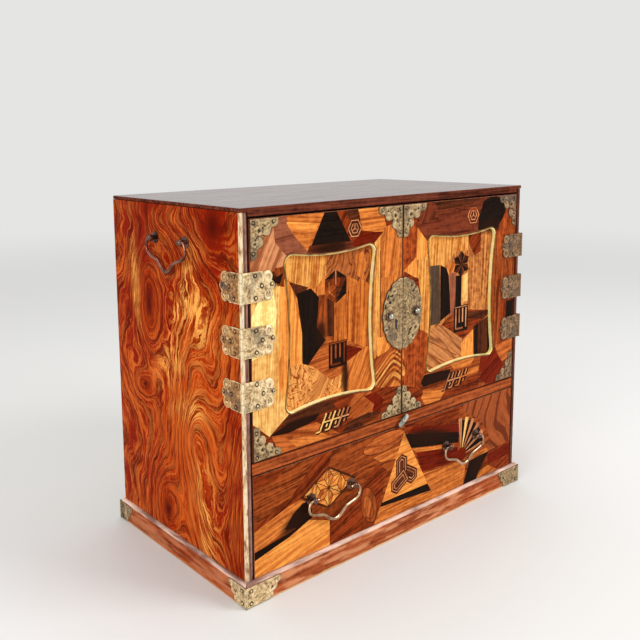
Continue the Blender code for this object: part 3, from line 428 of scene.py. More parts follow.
def figured_wood(name, turned, stile):
    """The side panels' figured veneer, with the front stile and the pale strip along the corner between them.
    """
    shader = Shader(name, LACQUER)
    _, y, z = shader.split(shader.place)
    to_front = (y - MIDDLE_Y) * -1000.0
    height = z * -1000.0 + TURNED_LEVEL if turned else z * 1000.0
    parts = (to_front, height)
    drawing = shader.join(*parts)
    level = sum((shader.hill(parts, *knot[:5]) * knot[5] for knot in KNOTS), to_front * 0.035)
    level += shader.noise(drawing, 0.014, 2.0, 0.5, 0.3) * 2.6
    level += shader.noise(drawing, 0.06, 3.0, 0.6, 0.3) * 0.55
    fleck = shader.stretched(parts, (0.55, 0.07), 3.0).rise(0.34, 0.66)
    streak = shader.noise(shader.join(level * 9.0, height * 0.03, to_front * 0.03), 1.0, 3.0, 0.65)
    cloud = shader.noise(drawing, 0.022, 4.0, 0.6, 0.5)
    warmth = (shader.hills(parts, WARM) - shader.hills(parts, DARK)) * 0.40 - 0.895
    warmth += cloud * 1.4 + streak.rise(0.34, 0.66) * 0.8 + fleck * 0.45
    colour = shader.mix(warmth.rise(0.0, 1.0), RED_WOOD, ORANGE_WOOD)
    flames = shader.hills(parts, FLAMES).math("MINIMUM", 1.0)
    vary = shader.noise(drawing, 0.03, 2.0).rise(0.35, 0.65)
    broad = saw(level, 0.30, 0.96) * (vary * 0.3 + 0.50)
    fine = saw(level * 3.7, 0.42, 0.90) * (flames * 0.52 + 0.22)
    hearts = shader.hills(parts, HEARTS) * 0.95
    colour = shader.mix(broad.math("MAXIMUM", fine).math("MAXIMUM", hearts), colour, LINE_WOOD)
    thread = (cloud * 0.35 + streak).rise(0.62, 0.80)
    flame = (flames * 0.95 + 0.12 - hearts) * thread
    colour = shader.mix(flame.math("MAXIMUM", 0.0), colour, FLAME_WOOD)
    shader.dress(front_stile_and_corner(shader, colour, *stile), fleck, 0.06, 0.2)


def front_stile_and_corner(shader, figure, light, dark, amount):
    """Adds the front stile with a painted shadow by the door gap, and a pale strip along the side's front
    corner.
    """
    x, y, z = shader.split(shader.place)
    front, _ = grain(shader, (z * 10.0, x * 10.0, y * 10.0), light, dark, 14, 0.5, 0.2, 0.25, 0.65)
    inward = abs(x) * -1.0 + SIDE
    # Painted shadow line along the stile's inner edge, in the gap by the door
    front = shader.mix(inward.rise(0.0064, 0.0069), front, GAP_SHADE)
    facing = shader.split(shader.normal)[1]
    colour = shader.mix(facing.rise(-0.5, -0.9), figure, front)
    patch = shader.noise(shader.join(x, y, z * 0.25), 320.0, 4.0, 0.6)
    reach = inward + (y - FRONT) + (patch - 0.5) * 0.0016
    pale = shader.ramp(patch, ((0.34, (150, 104, 78)), (0.48, (226, 196, 154)), (0.62, (250, 238, 206))))
    return shader.mix(reach.rise(0.0030, 0.0024) * amount, colour, pale)


def top_wood():
    """The top board: polished on top, dull and red on its edges, with a painted shadow line along its foot.
    """
    shader = Shader("top_wood", POLISH)
    colour, pore, parts = solid_grain(shader, (122, 62, 44), (62, 28, 20), "XYZ", 9)
    height = shader.split(shader.place)[2]
    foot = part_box("top_board")[0].z
    # Painted shadow line along the board's foot, over the doors
    colour = shader.mix(height.rise(foot + 0.0013, foot + 0.0008), colour, GAP_SHADE)
    shine = shader.split(shader.normal)[2].rise(0.5, 0.9)
    for socket in ("Specular IOR Level", "Coat Weight"):
        shader.put(socket, shine * POLISH[socket])
    shader.put("Roughness", shader.stretched(parts, (1.5, 30.0, 30.0), 3.0) * 0.5 + 0.06)
    shader.dress(shader.mix(shine * 0.55, colour, (42, 22, 17)), pore, 0.2, 0.15)


def brass(name, stops, work, wear_and_highlight_colour):
    """Aged brass, whose colour work finishes."""
    shader = Shader(name, AGED_BRASS)
    patina = shader.noise(shader.place, 150.0, 6.0, 0.66, 0.6)
    stipple = shader.noise(shader.place, 380.0, 3.0, 0.65).rise(0.36, 0.64)
    colour = work(shader, shader.ramp(stipple * 0.30 + patina - 0.15, stops), wear_and_highlight_colour)
    shader.put("Roughness", patina * 0.35 + 0.26)
    shader.dress(colour, shader.noise(shader.place, 900.0, 2.0), 0.3, 0.2)


def chased(shader, colour, ridge_colour):
    """Stained and punched all over, dark in the hollows and bright on the ridges."""
    stain = shader.noise(shader.place, 40.0, 3.0).rise(0.52, 0.66) * 0.6
    colour = shader.mix(stain, colour, (88, 72, 62))
    punch = shader.noise(shader.place, 620.0, 1.0).rise(0.56, 0.68) * 0.4
    colour = shader.mix(punch, colour, (66, 50, 34))
    relief = shader.node("Attribute", {}, "Fac", attribute_name="relief")
    colour = shader.mix(relief.rise(0.36, 0.12), colour, (46, 32, 22))
    return shader.mix(relief.rise(0.50, 0.85) * 0.7, colour, ridge_colour)


def highlit_barrel(shader, colour, crest_highlight):
    """A painted highlight along the front of the hinge's barrel, with a painted shadow line beside it."""
    x, y, _ = shader.split(shader.normal)
    facing = (abs(x) - y) * math.sqrt(0.5)
    shadow = facing.rise(0.73, 0.77) * facing.rise(0.90, 0.84)
    colour = shader.mix(shadow, colour, (76, 58, 40))
    return shader.mix(facing.rise(0.88, 0.96), colour, crest_highlight)


def metal(name, dark, light, metallic, roughness, scale):
    shader = Shader(name, {"Metallic": metallic, "Roughness": roughness})
    patina = shader.noise(shader.place, scale, 5.0, 0.6)
    colour = shader.ramp(patina, ((0.36, dark), (0.62, light)))
    shader.dress(colour, shader.noise(shader.place, 1200.0, 2.0), 0.12, 0.1)


def gilt():
    """Gilt bead: a painted highlight on walls facing into the window; abraded and in painted shade elsewhere.
    """
    shader = Shader("gilt", GILDING)
    window = middle_of("right_door_bead")
    x, _, z = shader.split(shader.place)
    normal_x, _, normal_z = shader.split(shader.normal)
    away = (abs(x) - window.x) * (x.math("SIGN") * normal_x) + (z - window.z) * normal_z
    patina = shader.noise(shader.place, 90.0, 5.0, 0.6)
    # Painted highlight on the inner walls, and abraded gilding in painted shade on the other faces
    wall = shader.ramp(patina, ((0.36, (255, 232, 138)), (0.60, (255, 250, 188))))
    rubbed_and_shaded = shader.ramp(patina, ((0.36, (88, 60, 24)), (0.60, (168, 126, 58))))
    shader.put("Base Color", shader.mix(away.rise(-0.024, -0.042), rubbed_and_shaded, wall))


def make_materials():
    for name in SPECIES:
        species_wood(name)
    for make, table in ((plain_wood, PLAIN_WOODS), (plinth_wood, PLINTH_WOODS), (metal, METALS)):
        for name, look in table.items():
            make(name, *look)
    for name, stops in CHASED_BRASSES.items():
        brass(name, stops, chased, stops[-1][1])
    for name, (stops, crest_highlight) in PLAIN_BRASSES.items():
        brass(name, stops, highlit_barrel, crest_highlight)
    figured_wood("figured_side_left", False, LEFT_STILE)
    figured_wood("figured_side_right", True, RIGHT_STILE)
    top_wood()
    gilt()


def paint_frame():
    """Gives the CAD nodes their materials and soft edges, by modifiers alone."""
    for name, node in frame["nodes"].items():
        for pattern, material, rounding in LOOKS:
            if fnmatch(name, pattern):
                for slot in node.material_slots:
                    slot.material = MATERIALS[material]
                if rounding:
                    soften(node, rounding)


def soften(node, width):
    weld = node.modifiers.new("weld", "WELD")
    weld.merge_threshold = 1e-6
    bevel = node.modifiers.new("bevel", "BEVEL")
    bevel.width = width * MM
    bevel.segments = 2
    bevel.limit_method = "ANGLE"
    bevel.angle_limit = math.radians(40)
    bevel.harden_normals = True


def middle_of(node):
    low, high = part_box(node)
    return (low + high) / 2


def new_object(name, mesh, body, slot, *materials):
    for material in materials:
        mesh.materials.append(MATERIALS[material])
    obj = bpy.data.objects.new(name, mesh)
    bpy.context.scene.collection.objects.link(obj)
    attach(obj, body)
    return obj


def finished_mesh(name, bm, smooth_angle=None):
    bmesh.ops.recalc_face_normals(bm, faces=bm.faces)
    mesh = bpy.data.meshes.new(name)
    bm.to_mesh(mesh)
    bm.free()
    if smooth_angle:
        mesh.shade_smooth()
        mesh.set_sharp_from_angle(angle=math.radians(smooth_angle))
    return mesh


def skin(bm, rings):
    """Faces between rings of as many points each."""
    for first, second in zip(rings, rings[1:]):
        for n in range(len(first)):
            after = (n + 1) % len(first)
            bm.faces.new((first[n], first[after], second[after], second[n]))


def anticlockwise(points):
    area = sum(a[0] * b[1] - b[0] * a[1] for a, b in zip(points, points[1:] + points[:1]))
    return points if area > 0 else points[::-1]


# Ornaments of the marquetry. A tile is a species, the angle of its grain, and its corners


def strip(start, end, width):
    """A narrow bar from one point to another."""
    first, second = Vector(start), Vector(end)
    way = (second - first).normalized()
    aside = Vector((-way.y, way.x)) * width / 2
    return [tuple(p) for p in (first - aside, second - aside, second + aside, first + aside)]


def rectangle(low_x, high_x, low_z, high_z):
    return [(low_x, low_z), (high_x, low_z), (high_x, high_z), (low_x, high_z)]


def polar(x, z, radius, turn):
    angle = math.radians(turn)
    return x + radius * math.cos(angle), z + radius * math.sin(angle)


def polygon(x, z, radius, sides, turn=0):
    return [polar(x, z, radius, turn + 360 * n / sides) for n in range(sides)]


def oval(x, z, half_wide, half_high, tilt, sides=28):
    along, across = math.cos(math.radians(tilt)), math.sin(math.radians(tilt))
    ring = [(half_wide * u, half_high * v) for u, v in polygon(0, 0, 1, sides)]
    return [(x + u * along - v * across, z + u * across + v * along) for u, v in ring]


def between(first, second, share):
    return tuple(a + (b - a) * share for a, b in zip(first, second))


def hexagon_crest(x, z, radius, line_wood, fill_wood):
    """Thin hexagons in each other, with a small three-leaved flower in the middle."""
    rings = ((1.0, "umber"), (0.92, line_wood), (0.80, fill_wood), (0.54, line_wood), (0.44, "umber"))
    tiles = [(wood, 0, *polygon(x, z, radius * share, 6)) for share, wood in rings]
    tips = polygon(x, z, radius * 0.36, 3, 90)
    return tiles + [(line_wood, 0, *strip((x, z), tip, radius * 0.10)) for tip in tips]


def cube_crest(x, z, radius):
    """A dark hexagon with black outer corners, a red upper half, a russet rhomb and a pale line."""
    middle = (x, z)
    corner = polygon(x, z, radius, 6, 30)
    inner = polygon(x, z, radius * 0.58, 6)
    tiles = [
        ("umber", 60, *corner),
        ("red", 80, *inner[:4], middle),
        ("russet", 30, corner[2], middle, corner[4], corner[3]),
        ("ebony", 0, corner[0], corner[1], inner[1]),
        ("ebony", 0, corner[1], corner[2], inner[2]),
        ("ebony", 0, corner[4], corner[5], corner[0], inner[0], inner[5]),
        ("umber", 0, inner[0], inner[5], corner[4], middle),
        ("rose", 90, *strip((x, z + radius * 0.1), (x, z + radius), radius * 0.07)),
    ]
    for turns in ((150, 215), (200, 262)):
        ends = [polar(x, z, radius * 0.62, turn) for turn in turns]
        tiles.append(("amber", 0, *strip(*ends, radius * 0.05)))
    return tiles


def star_crest(x, z, radius):
    """A six-petalled star of split rhombs, dark on one half and black on the other."""
    tiles = []
    for turn in range(30, 390, 60):
        tip = polar(x, z, radius, turn)
        right, left = [polar(x, z, radius * 0.74, turn + aside) for aside in (-28.5, 28.5)]
        tiles += [("ebony", turn, (x, z), right, tip), ("umber", turn, (x, z), tip, left)]
    return tiles


def bars_crest(x, z, wide, high, bar_wood):
    """A dark leaning block with upright bars, a hooked foot and a thin line at its top."""
    half, rise, line = wide / 2, high / 2, wide * 0.085
    tiles = [("ebony", 0, *rectangle(x - half, x + half, z - rise, z + rise))]
    for n, foot in enumerate((-0.74, -0.30, -0.30, -0.74)):
        at = x - half * 0.72 + n * wide * 0.24
        tiles.append((bar_wood, 90, *strip((at, z + rise * foot), (at, z + rise * 0.78), line)))
    for left, right, level, width in ((-0.72, 0.30, -0.74, line), (-0.9, 0.9, 0.9, line * 0.5)):
        ends = [(x + half * end, z + rise * level) for end in (left, right)]
        tiles.append((bar_wood, 0, *strip(*ends, width)))
    return tiles


def shaded_bar(wood, turn, ends, width, shade_shift, shade_width):
    """A bar on its own black shade."""
    shade = [end + Vector(shade_shift) for end in ends]
    return [("ebony", turn, *strip(*shade, shade_width)), (wood, turn, *strip(*ends, width))]


def fret_crest(x, z, bar_wood, far_wood):
    """A leaning fret: long bars through two rows, with short bars and cross bars between them."""
    lean, step = Vector((8.5, 16)), Vector((11.5, 0))
    start = Vector((x - 19, z - 8.5))
    ground = [tuple(start + Vector(p)) for p in ((-4, -1.5), (28, -1.5), (36, 15), (6, 15))]
    tiles = [("umber", 5, *ground)]
    for n, wood in enumerate((bar_wood, bar_wood, far_wood)):
        foot = start + step * n
        shade, bar = shaded_bar(wood, 57, (foot, foot + lean), 2.0, (2.3, 0), 2.4)
        tiles.append(shade)
        for levels in ((0.18, 0.52), (0.62, 0.98)):
            ends = [foot + step * 0.55 + lean * level for level in levels]
            tiles += shaded_bar(wood, 57, ends, 1.6, (2.0, -0.4), 2.2)
        for level, steps in ((0.5, (0.0, 0.9)), (0.0, (-0.45, 0.0))):
            ends = [foot + lean * level + step * along for along in steps]
            tiles += shaded_bar(wood, 0, ends, 1.5, (0, -1.5), 1.5)
        tiles.append(bar)
    return tiles


def hemp_leaf(x, z, half_wide, half_high):
    """A rhomb with a dark border, filled with the hemp-leaf pattern of small kites."""
    corners = [(x - half_wide, z), (x, z - half_high), (x + half_wide, z), (x, z + half_high)]
    inner = [between((x, z), corner, 0.90) for corner in corners]
    tiles = [("umber", 0, *corners), ("amber", 30, *inner)]
    origin, end_u, end_v = [np.array(inner[n]) for n in (0, 1, 3)]
    step_u, step_v = (end_u - origin) / 2, (end_v - origin) / 2
    lines = []
    for i, j in ((0, 0), (0, 1), (1, 0), (1, 1)):
        a = origin + step_u * i + step_v * j
        b, c, d = a + step_u, a + (step_u + step_v), a + step_v
        for n, triangle in enumerate(((a, b, d), (c, d, b))):
            centre = sum(triangle) / 3
            for k, corner in enumerate(triangle):
                after = triangle[(k + 1) % 3]
                wood = ("amber", "honey", "gold")[(n + k + i + j) % 3]
                tiles.append((wood, 40 * k, *[tuple(p) for p in (corner, after, centre)]))
                lines += [(centre, corner), (corner, after)]
    return tiles + [("umber", 0, *strip(*ends, 0.75)) for ends in lines]


def tortoise_crest(x, z, reach, half):
    """Three long hexagons round the middle, like a pinwheel, as dark and pale bands in each other."""
    bands = ((0.0, "umber"), (1.9, "rose"), (2.9, "umber"), (4.9, "rose"), (5.9, "umber"))
    tiles = []
    for turn in (330, 90, 210):
        way = Vector(polar(0, 0, 1, turn))
        aside = Vector((-way.y, way.x))
        middle = Vector((x, z)) + aside * half * 0.32
        for inset, wood in bands:
            wide = aside * (half - inset)
            tip = way * (reach - inset * 1.1)
            shoulder = tip - way * (half - inset) * 0.6
            root = way * -(half * 0.55 - inset)
            drawn_round = (root - wide, shoulder - wide, tip, shoulder + wide, root + wide)
            tiles.append((wood, turn, *[tuple(middle + p) for p in drawn_round]))
    return tiles


def fan(x, z, radius):
    """An open folding fan: pale ribs between dark folds, round a red grip."""
    turns = (93, 77, 61, 44, 26, 6)
    woods = ("rose", "straw", "rose", "rose", "rose", "rose")
    inner, half = 8.0, 4.2
    ends = [(turns[0], 0.97), *[((a + b) / 2, 0.93) for a, b in zip(turns, turns[1:])], (turns[-1], 0.9)]
    folds = [polar(x, z, radius * share, turn) for turn, share in ends]
    tiles = [("ebony", 60, (x, z), *reversed(folds))]
    for turn, wood in zip(turns, woods):
        near = [polar(x, z, inner, turn + side * half * 0.8) for side in (-1, 1)]
        far = [polar(x, z, radius, turn + side * half) for side in (1, -1)]
        tiles.append((wood, turn, *near, *far))
    return tiles + [("cherry", 45, *polygon(x + 1, z + 1, inner * 1.05, 7, 20))]


def chevrons(apex_x, levels, slope, reach):
    """Thin bands that rise to a round peak and fall again, one below the other."""
    tiles = []
    for apex_z, thick, wood in levels:
        top = []
        for k in range(11):
            across = -reach + 2 * reach * k / 10
            bent = math.sqrt((across / reach) ** 2 + 0.015) - 0.12
            top.append((apex_x + across, apex_z - slope * reach * bent))
        tiles.append((wood, 40, *top, *[(px, pz - thick) for px, pz in reversed(top)]))
    return tiles


def numbers(word):
    return tuple(float(part) for part in word.split(","))


def drawn(text):
    """Tiles drawn as text, one to a line: species, the grain's angle or the centre it rounds, corners x,z."""
    for line in text.strip().splitlines():
        wood, way, *corners = line.split()
        grain_way = numbers(way)
        yield (wood, grain_way if len(grain_way) > 1 else grain_way[0], *map(numbers, corners))


# Bands on the left door's inner stile: level of the peak, thickness, species
CHEVRONS = (
    (206, 2.6, "amber"), (200, 2.2, "gold"), (195.5, 2.4, "amber"), (190, 3.0, "gold"),
    (183.5, 2.2, "amber"), (178, 5.0, "gold"), (169, 9.0, "amber"),
)

# The left door's frame: its ground, top rail and the upper part of its inner stile
LEFT_FRAME_TOP = """
red 3 -190.5,130.8 -0.6,130.8 -0.6,344.5 -190.5,344.5
rose 62 -191,346 -160,346 -141,326 -126,309 -191,290
mauve 6 -166,346 -148,346 -142,328 -124,309 -150,309 -163,322
amber -4 -151,346 -104,346 -121,316 -126,311 -144,329
honey -4 -150,339 -112,335 -116,329 -147,333
red 60 -90,346 -79,346 -74,334 -76,322 -70,312 -80,312
umber 10 -80,346 -62,346 -58,332 -74,336
amber 2 -63,346 -30,346 -22,318 -40,321 -58,324 -60,338
honey 2 -63,346 -32,346 -31,342 -61,341
cherry 4 -58,322 -24,320 -30,309 -36,305 -74,310 -66,316
wine 0 -123,316 -71,316 -66,306 -128,306
ebony 0 -104,346 -91,346 -72,315 -121,315
amber 84 -27,324 0,330 0,268 -32,268 -34,300
gold 88 -46,306 -38,312 -27,321 -31,300 -30,262 -31,206 -38,196 -46,196
"""
# The lower part of its inner stile
LEFT_FRAME_STILE = """
amber 86 -31,275 0,275 0,200 -30,204
honey 70 -37,216 -26,216 -18,203 -20,195 -35,196
russet 40 -38,196 0,206 0,158 -38,160
"""
# Its bottom rail and outer stile
LEFT_FRAME_FOOT = """
red 8 -191,152 -38,166 0,160 0,130 -191,130
tawny 24 -84,146 -66,166 -44,164 -34,150 -36,141 -60,140
russet 26 -82,148 -60,158 -42,156 -50,150 -74,144
cherry 20 -54,161 -38,162 -26,152 -30,140 -42,142 -40,150
umber 4 -84,130 -76,140 -50,143 -32,141 -26,130
russet 0 -60,137 -28,138 -24,130 -52,130
tawny -12 -170,150 -116,150 -84,130 -160,130
amber -14 -150,141 -110,138 -96,131 -140,132
umber 3 -158,160 -147,169 -96,167 -92,158 -112,157 -150,155
ebony 3 -173,150 -151,156.5 -112,158 -118,152 -150,148
straw 87 -191,292 -166,290 -153,288 -152,172 -147,167 -172,150 -191,166
sunlit 88 -191,258 -180,277 -167,288 -162,262 -165,236 -174,226 -191,222
honey 89 -158,288 -142,290 -142,176 -150,170 -157,186 -160,214
amber 89 -161,214 -157,222 -156,196 -160,184
russet 88 -164,300 -153,300 -153,282 -161,284
ebony 20 -168,289 -154,295 -158,285
"""
# The right door's frame: its ground, top rail, outer stile, bottom rail and inner stile
RIGHT_FRAME = """
red 4 0.6,130.8 190.5,130.8 190.5,344.5 0.6,344.5
wine 3 18,346 140,346 124,308 36,308 22,320
umber 3 46,346 128,346 110,338 54,335
wine 6 52,332 86,334 98,327 84,320 56,325
wine -4 36,318 100,322 118,309 38,307
wine 60 21,322 51,328 48,338 41,346 33,338
ebony 20 130,340 147,346 163,341 171,327 160,309 121,309 122,322
red 40 160,346 191,346 191,318 172,326 164,341
burl 84 158,312 170,322 191,318 191,268 158,262
russet 80 176,316 191,318 191,286 172,290
russet 88 156,272 191,276 191,238 157,236
red 88 156,240 191,240 191,176 156,176
russet 88 146,306 160,300 165,262 166,180 158,172 146,172
ebony 88 177,203 191,203 191,223 177,223
tawny 10 157,174 191,178 191,160 178,154 170,152
russet 2 30,168 150,168 140,130 30,130
amber 4 78,168 122,168 112,160 84,160
amber 2 105,156 134,157 140,150 108,149
cherry 30 132,170 156,170 174,150 163,131 150,130 126,141
ebony 2 29,157 36,164 78,162 78,152 34,151.5
amber -8 26,147 36,148 78,143 62,130 38,130
red -4 76,145 134,148 126,130 60,130
burl 88 0,334 20,322 21,288 2,276 0,270
honey 80 2,278 20,290 46,292 46,262 18,270
honey 86 22,320 38,304 37,284 20,286
gold 88 20,287 46,290 47,200 28,212 29,246 25,264
burl 88 0,208 28,214 40,208 38,172 34,164 28,152 0,160
amber 30 0,200 4,196 4,186 0,190
gold 30 0,184 5,178 5,168 0,172
red 10 0,160 28,152 34,146 26,130 0,130
"""
# The panels in the doors' windows, which show a room
LEFT_PANEL = """
amber 88 -165,155 -25,155 -25,320 -165,320
gold 84 -160,310 -104,310 -104,288 -118,277 -140,284 -160,293
swirl 70 -104,310 -30,310 -38,280 -46,262 -60,276 -78,284 -104,287
amber 80 -66,303 -56,305 -51,292 -57,278 -66,284
stripe 89 -93,261 -78,268 -58,279 -44,270 -36,210 -52,209 -78,219 -93,224
amber 88 -47,306 -36,306 -36,208 -46,208
russet 87 -116,270 -104,270 -104,228 -116,238
russet 89 -106,270 -94,264 -94,222 -107,232
umber 89 -103,266 -94,262 -94,228 -103,230
tawny 4 -132,206 -105,229 -93,223 -78,222 -50,209 -75,195 -98,186 -120,203
cherry 4 -78,217 -54,209 -72,198 -80,204
honey 86 -160,292 -147,286 -133,238 -133,207 -160,209
umber 10 -149,287 -126,279 -139,270
ebony 88 -140,275 -123,278 -113,268 -116,240 -105,227 -128,206 -134,210 -134,238
curl -116,189 -160,211 -133,209 -122,205 -98,187 -83,190 -79,164 -160,164
amber 60 -79,200 -52,211 -30,208 -30,164 -79,164
"""
RIGHT_PANEL_BACK = """
mottle 88 25,155 165,155 165,320 25,320
gold 86 25,312 104,312 108,299 106,290 85,291 66,276 25,281
red 40 104,312 128,312 127,286 116,283 106,298
mauve 88 74,272 86,270 86,222 74,220
amber 60 68,277 86,280 84,268 76,268
smoke 88 25,280 58,279 60,216 25,216
ebony 88 59,279 62,277.5 69,274 73,266 77,225 62,219 60,218
straw 89 95,262 106,266 106,234 95,234
ebony 89 85,264 95,264 95,226 85,226
red 4 66,217 84,224 108,224 152,217 132,207 98,192 62,213
umber 4 107,222 150,217 134,209 107,214
russet 4 68,217 84,221 84,216 72,213
tan -36 25,213 62,214 98,193 98,164 25,164
"""
RIGHT_PANEL_FRONT = """
honey 86 96,188 117,200 120,164 98,164
umber 89 117,204 134,208 152,214 165,214 165,164 119,164
ebony 89 119,203 126,206 126,164 120,164
ebony 89 143,211 165,214 165,164 144,164
"""
# The drawer's front: its ground and left part, and what lies over its ovals
DRAWER_LEFT = """
russet 6 -191.2,22.3 191.2,22.3 191.2,117.4 -191.2,117.4
red 30 -192,71 -150,84 -112,119 -96,119 -100,104 -138,82 -150,79 -192,64
red 4 -192,119 -150,119 -165,108 -192,106
amber 14 -192,66 -152,78 -137,80 -126,74 -150,56 -192,46
ebony 30 -156,57 -146,69 -134,76 -124,76 -122,58 -140,54
ebony 8 -192,47 -150,52.5 -126,58 -126,53 -150,48.5 -192,38
honey 8 -192,39 -150,48.5 -126,57 -100,48 -100,21 -192,21
honey 14 -192,32 -130,40 -100,44 -100,21 -192,21
red 20 -100,52 -58,66 -36,86 -20,76 -30,42 -38,21 -100,21
"""
DRAWER_RIGHT = """
amber 5 -40,94 0,97 -4,84 -30,87
red 2 6,119 95,119 95,88 40,100 6,108
cherry -8 20,112 95,96 95,87 10,107
russet -4 15,90 95,76 110,48 105,22 50,22
amber 2 34,56 100,52 108,44 104,22 52,22
cherry -6 24,82 70,74 94,70 94,54 34,58
ebony -12 7,107 95,87 95,75 15,89
amber -11 15,89.5 72,78 72,74 24,83
arc 196,92 95,119 192,119 192,50 150,50 150,70 134,92 110,104
red 20 146,50 192,52 192,21 128,21
cherry 14 148,46 192,50 192,36 150,34
amber 10 128,30 150,33 170,22 126,21
amber 0 104,52 146,55 152,49 114,47
ebony 40 104,21 115,48 152,50 138,38 127,21
honey 2 5,109 -27.5,42.5 43.5,42
amber 2 -30,40 48,34 54,21 -40,21
ebony 0 -28,43 43,42.5 49,33 -30,39
"""
# Ovals on the drawer, each a dark line round a paler field: species, grain, centre, half sizes, tilt
OVALS = (
    ("umber", 80, -46, 46, 21.0, 10.8, 108),
    ("russet", 80, -46.3, 46.3, 20.0, 10.0, 108),
    ("umber", 80, -47, 44, 14.0, 6.4, 108),
    ("tawny", 80, -47.2, 44.2, 13.2, 5.7, 108),
    ("umber", 4, -24, 106, 31.0, 9.6, 4),
    ("tawny", 4, -24, 106.3, 30.2, 9.0, 4),
)


def frame_tiles(lock_z):
    """Tiles of both door frames, with ebony in painted shade behind the keyhole in the left one."""
    left = [
        *drawn(LEFT_FRAME_TOP),
        ("russet", 88, *strip((-31.5, 302), (-31, 210), 1.6)),
        *drawn(LEFT_FRAME_STILE),
        *chevrons(-12, CHEVRONS, 0.85, 26),
        *drawn(LEFT_FRAME_FOOT),
        *hexagon_crest(-66.5, 326.5, 10.0, "rose", "umber"),
        *fret_crest(-93, 148, "straw", "rose"),
        ("ebony", 0, *rectangle(-13, -7, lock_z - 15, lock_z - 4)),
    ]
    right = [
        *drawn(RIGHT_FRAME),
        *hexagon_crest(112.5, 326, 11, "rose", "red"),
        *fret_crest(88, 150, "rose", "amber"),
    ]
    return {"left": left, "right": right}


def panel_tiles():
    left = [
        *drawn(LEFT_PANEL),
        ("russet", 88, *strip((-79, 200), (-79, 164), 3.2)),
        *cube_crest(-92, 275.5, 16),
        *bars_crest(-89.5, 210.5, 23.5, 25, "russet"),
    ]
    right = [
        *drawn(RIGHT_PANEL_BACK),
        *[("russet", -36, *strip((30, 206 - 13 * n), (88, 176 - 15 * n), 1.1)) for n in range(3)],
        *drawn(RIGHT_PANEL_FRONT),
        *star_crest(94, 276, 14.5),
        *bars_crest(95, 216, 24, 29, "rose"),
    ]
    return {"left": left, "right": right}


def drawer_tiles():
    return [
        *drawn(DRAWER_LEFT),
        *[(wood, turn, *oval(*sizes)) for wood, turn, *sizes in OVALS],
        *drawn(DRAWER_RIGHT),
        *tortoise_crest(4.5, 64.0, 23.0, 8.6),
        *fan(99.5, 59, 43),
        *hemp_leaf(-101, 81.5, 36.5, 21.5),
    ]


# The door window, as in the CAD model, in mm: width, height, its ears' radius, its bowed sides' turn
WINDOW_SIZE = (116.0, 146.0)
WINDOW_EAR = 9.0
WINDOW_BOW = math.radians(9.5)


def window_outline(middle_x, middle_z, inset):
    """The door window's outline: round ears joined by sides that bow inwards."""
    ear_x, ear_z = [size / 2 - WINDOW_EAR * math.cos(WINDOW_BOW) for size in WINDOW_SIZE]
    points = []
    for quarter, (sx, sz) in enumerate(((1, 1), (-1, 1), (-1, -1), (1, -1))):
        turn = quarter * math.pi / 2
        for n in range(7):
            angle = turn - WINDOW_BOW + (math.pi / 2 + 2 * WINDOW_BOW) * n / 6
            x, z = polar(sx * ear_x, sz * ear_z, WINDOW_EAR - inset, math.degrees(angle))
            points.append((middle_x + x, middle_z + z))
        along, away = (ear_x, ear_z) if quarter % 2 == 0 else (ear_z, ear_x)
        bow_radius = (along - WINDOW_EAR * math.sin(WINDOW_BOW)) / math.sin(WINDOW_BOW)
        away += (WINDOW_EAR + bow_radius) * math.cos(WINDOW_BOW)
        out = turn + math.pi / 2
        for n in range(1, 8):
            angle = out + math.pi + WINDOW_BOW - 2 * WINDOW_BOW * n / 8
            bow_x, bow_z = away * math.cos(out), away * math.sin(out)
            x, z = polar(bow_x, bow_z, bow_radius + inset, math.degrees(angle))
            points.append((middle_x + x, middle_z + z))
    return points


def along_grain(x, z, grain_way):
    """Distances along and across the grain, which runs at an angle or round a point."""
    if isinstance(grain_way, tuple):
        dx, dz = x - grain_way[0], z - grain_way[1]
        return math.atan2(dz, -dx) * 60, math.hypot(dx, dz)
    turn = math.radians(grain_way)
    return x * math.cos(turn) + z * math.sin(turn), z * math.cos(turn) - x * math.sin(turn)


def veneer(name, body, tiles, outline, face_y, hole=(), shift=(0, 0)):
    """A sheet of veneer on a front face, cut to outline: later tiles lie over earlier ones."""
    outlines = [[(x + shift[0], z + shift[1]) for x, z in tile[2:]] for tile in tiles]
    outlines.append(outline)
    if hole:
        outlines.append(hole)
    corners, rings = [], []
    for points in outlines:
        rings.append(list(range(len(corners), len(corners) + len(points))))
        corners += [Vector(p) for p in anticlockwise(points)]
    cut = delaunay_2d_cdt(corners, [], rings, 1, CDT_EPSILON, True)
    woods = list(SPECIES)
    draw = random.Random(name)
    starts = [(draw.uniform(0, 40), draw.uniform(0, 40)) for _ in tiles]
    bm = bmesh.new()
    grain_map = bm.loops.layers.uv.new("grain")
    points = [bm.verts.new((v.x * MM, face_y - VENEER * MM, v.y * MM)) for v in cut[0]]
    for face, origins in zip(cut[2], cut[5]):
        if len(tiles) not in origins or (hole and len(tiles) + 1 in origins):
            continue
        top = max(n for n in origins if n < len(tiles))
        wood, grain_way = tiles[top][:2]
        made = bm.faces.new([points[n] for n in face])
        made.material_index = woods.index(wood)
        for loop in made.loops:
            run = along_grain(loop.vert.co.x / MM, loop.vert.co.z / MM, grain_way)
            loop[grain_map].uv = [part * GRAIN_SCALE + start for part, start in zip(run, starts[top])]
    bmesh.ops.delete(bm, geom=[v for v in bm.verts if not v.link_faces], context="VERTS")
    sheet = bmesh.ops.extrude_face_region(bm, geom=bm.faces[:])
    moved = [item for item in sheet["geom"] if isinstance(item, bmesh.types.BMVert)]
    bmesh.ops.translate(bm, vec=(0, VENEER * MM, 0), verts=moved)
    new_object(name, finished_mesh(name, bm), body, "marquetry_wood", *[f"veneer_{wood}" for wood in woods])


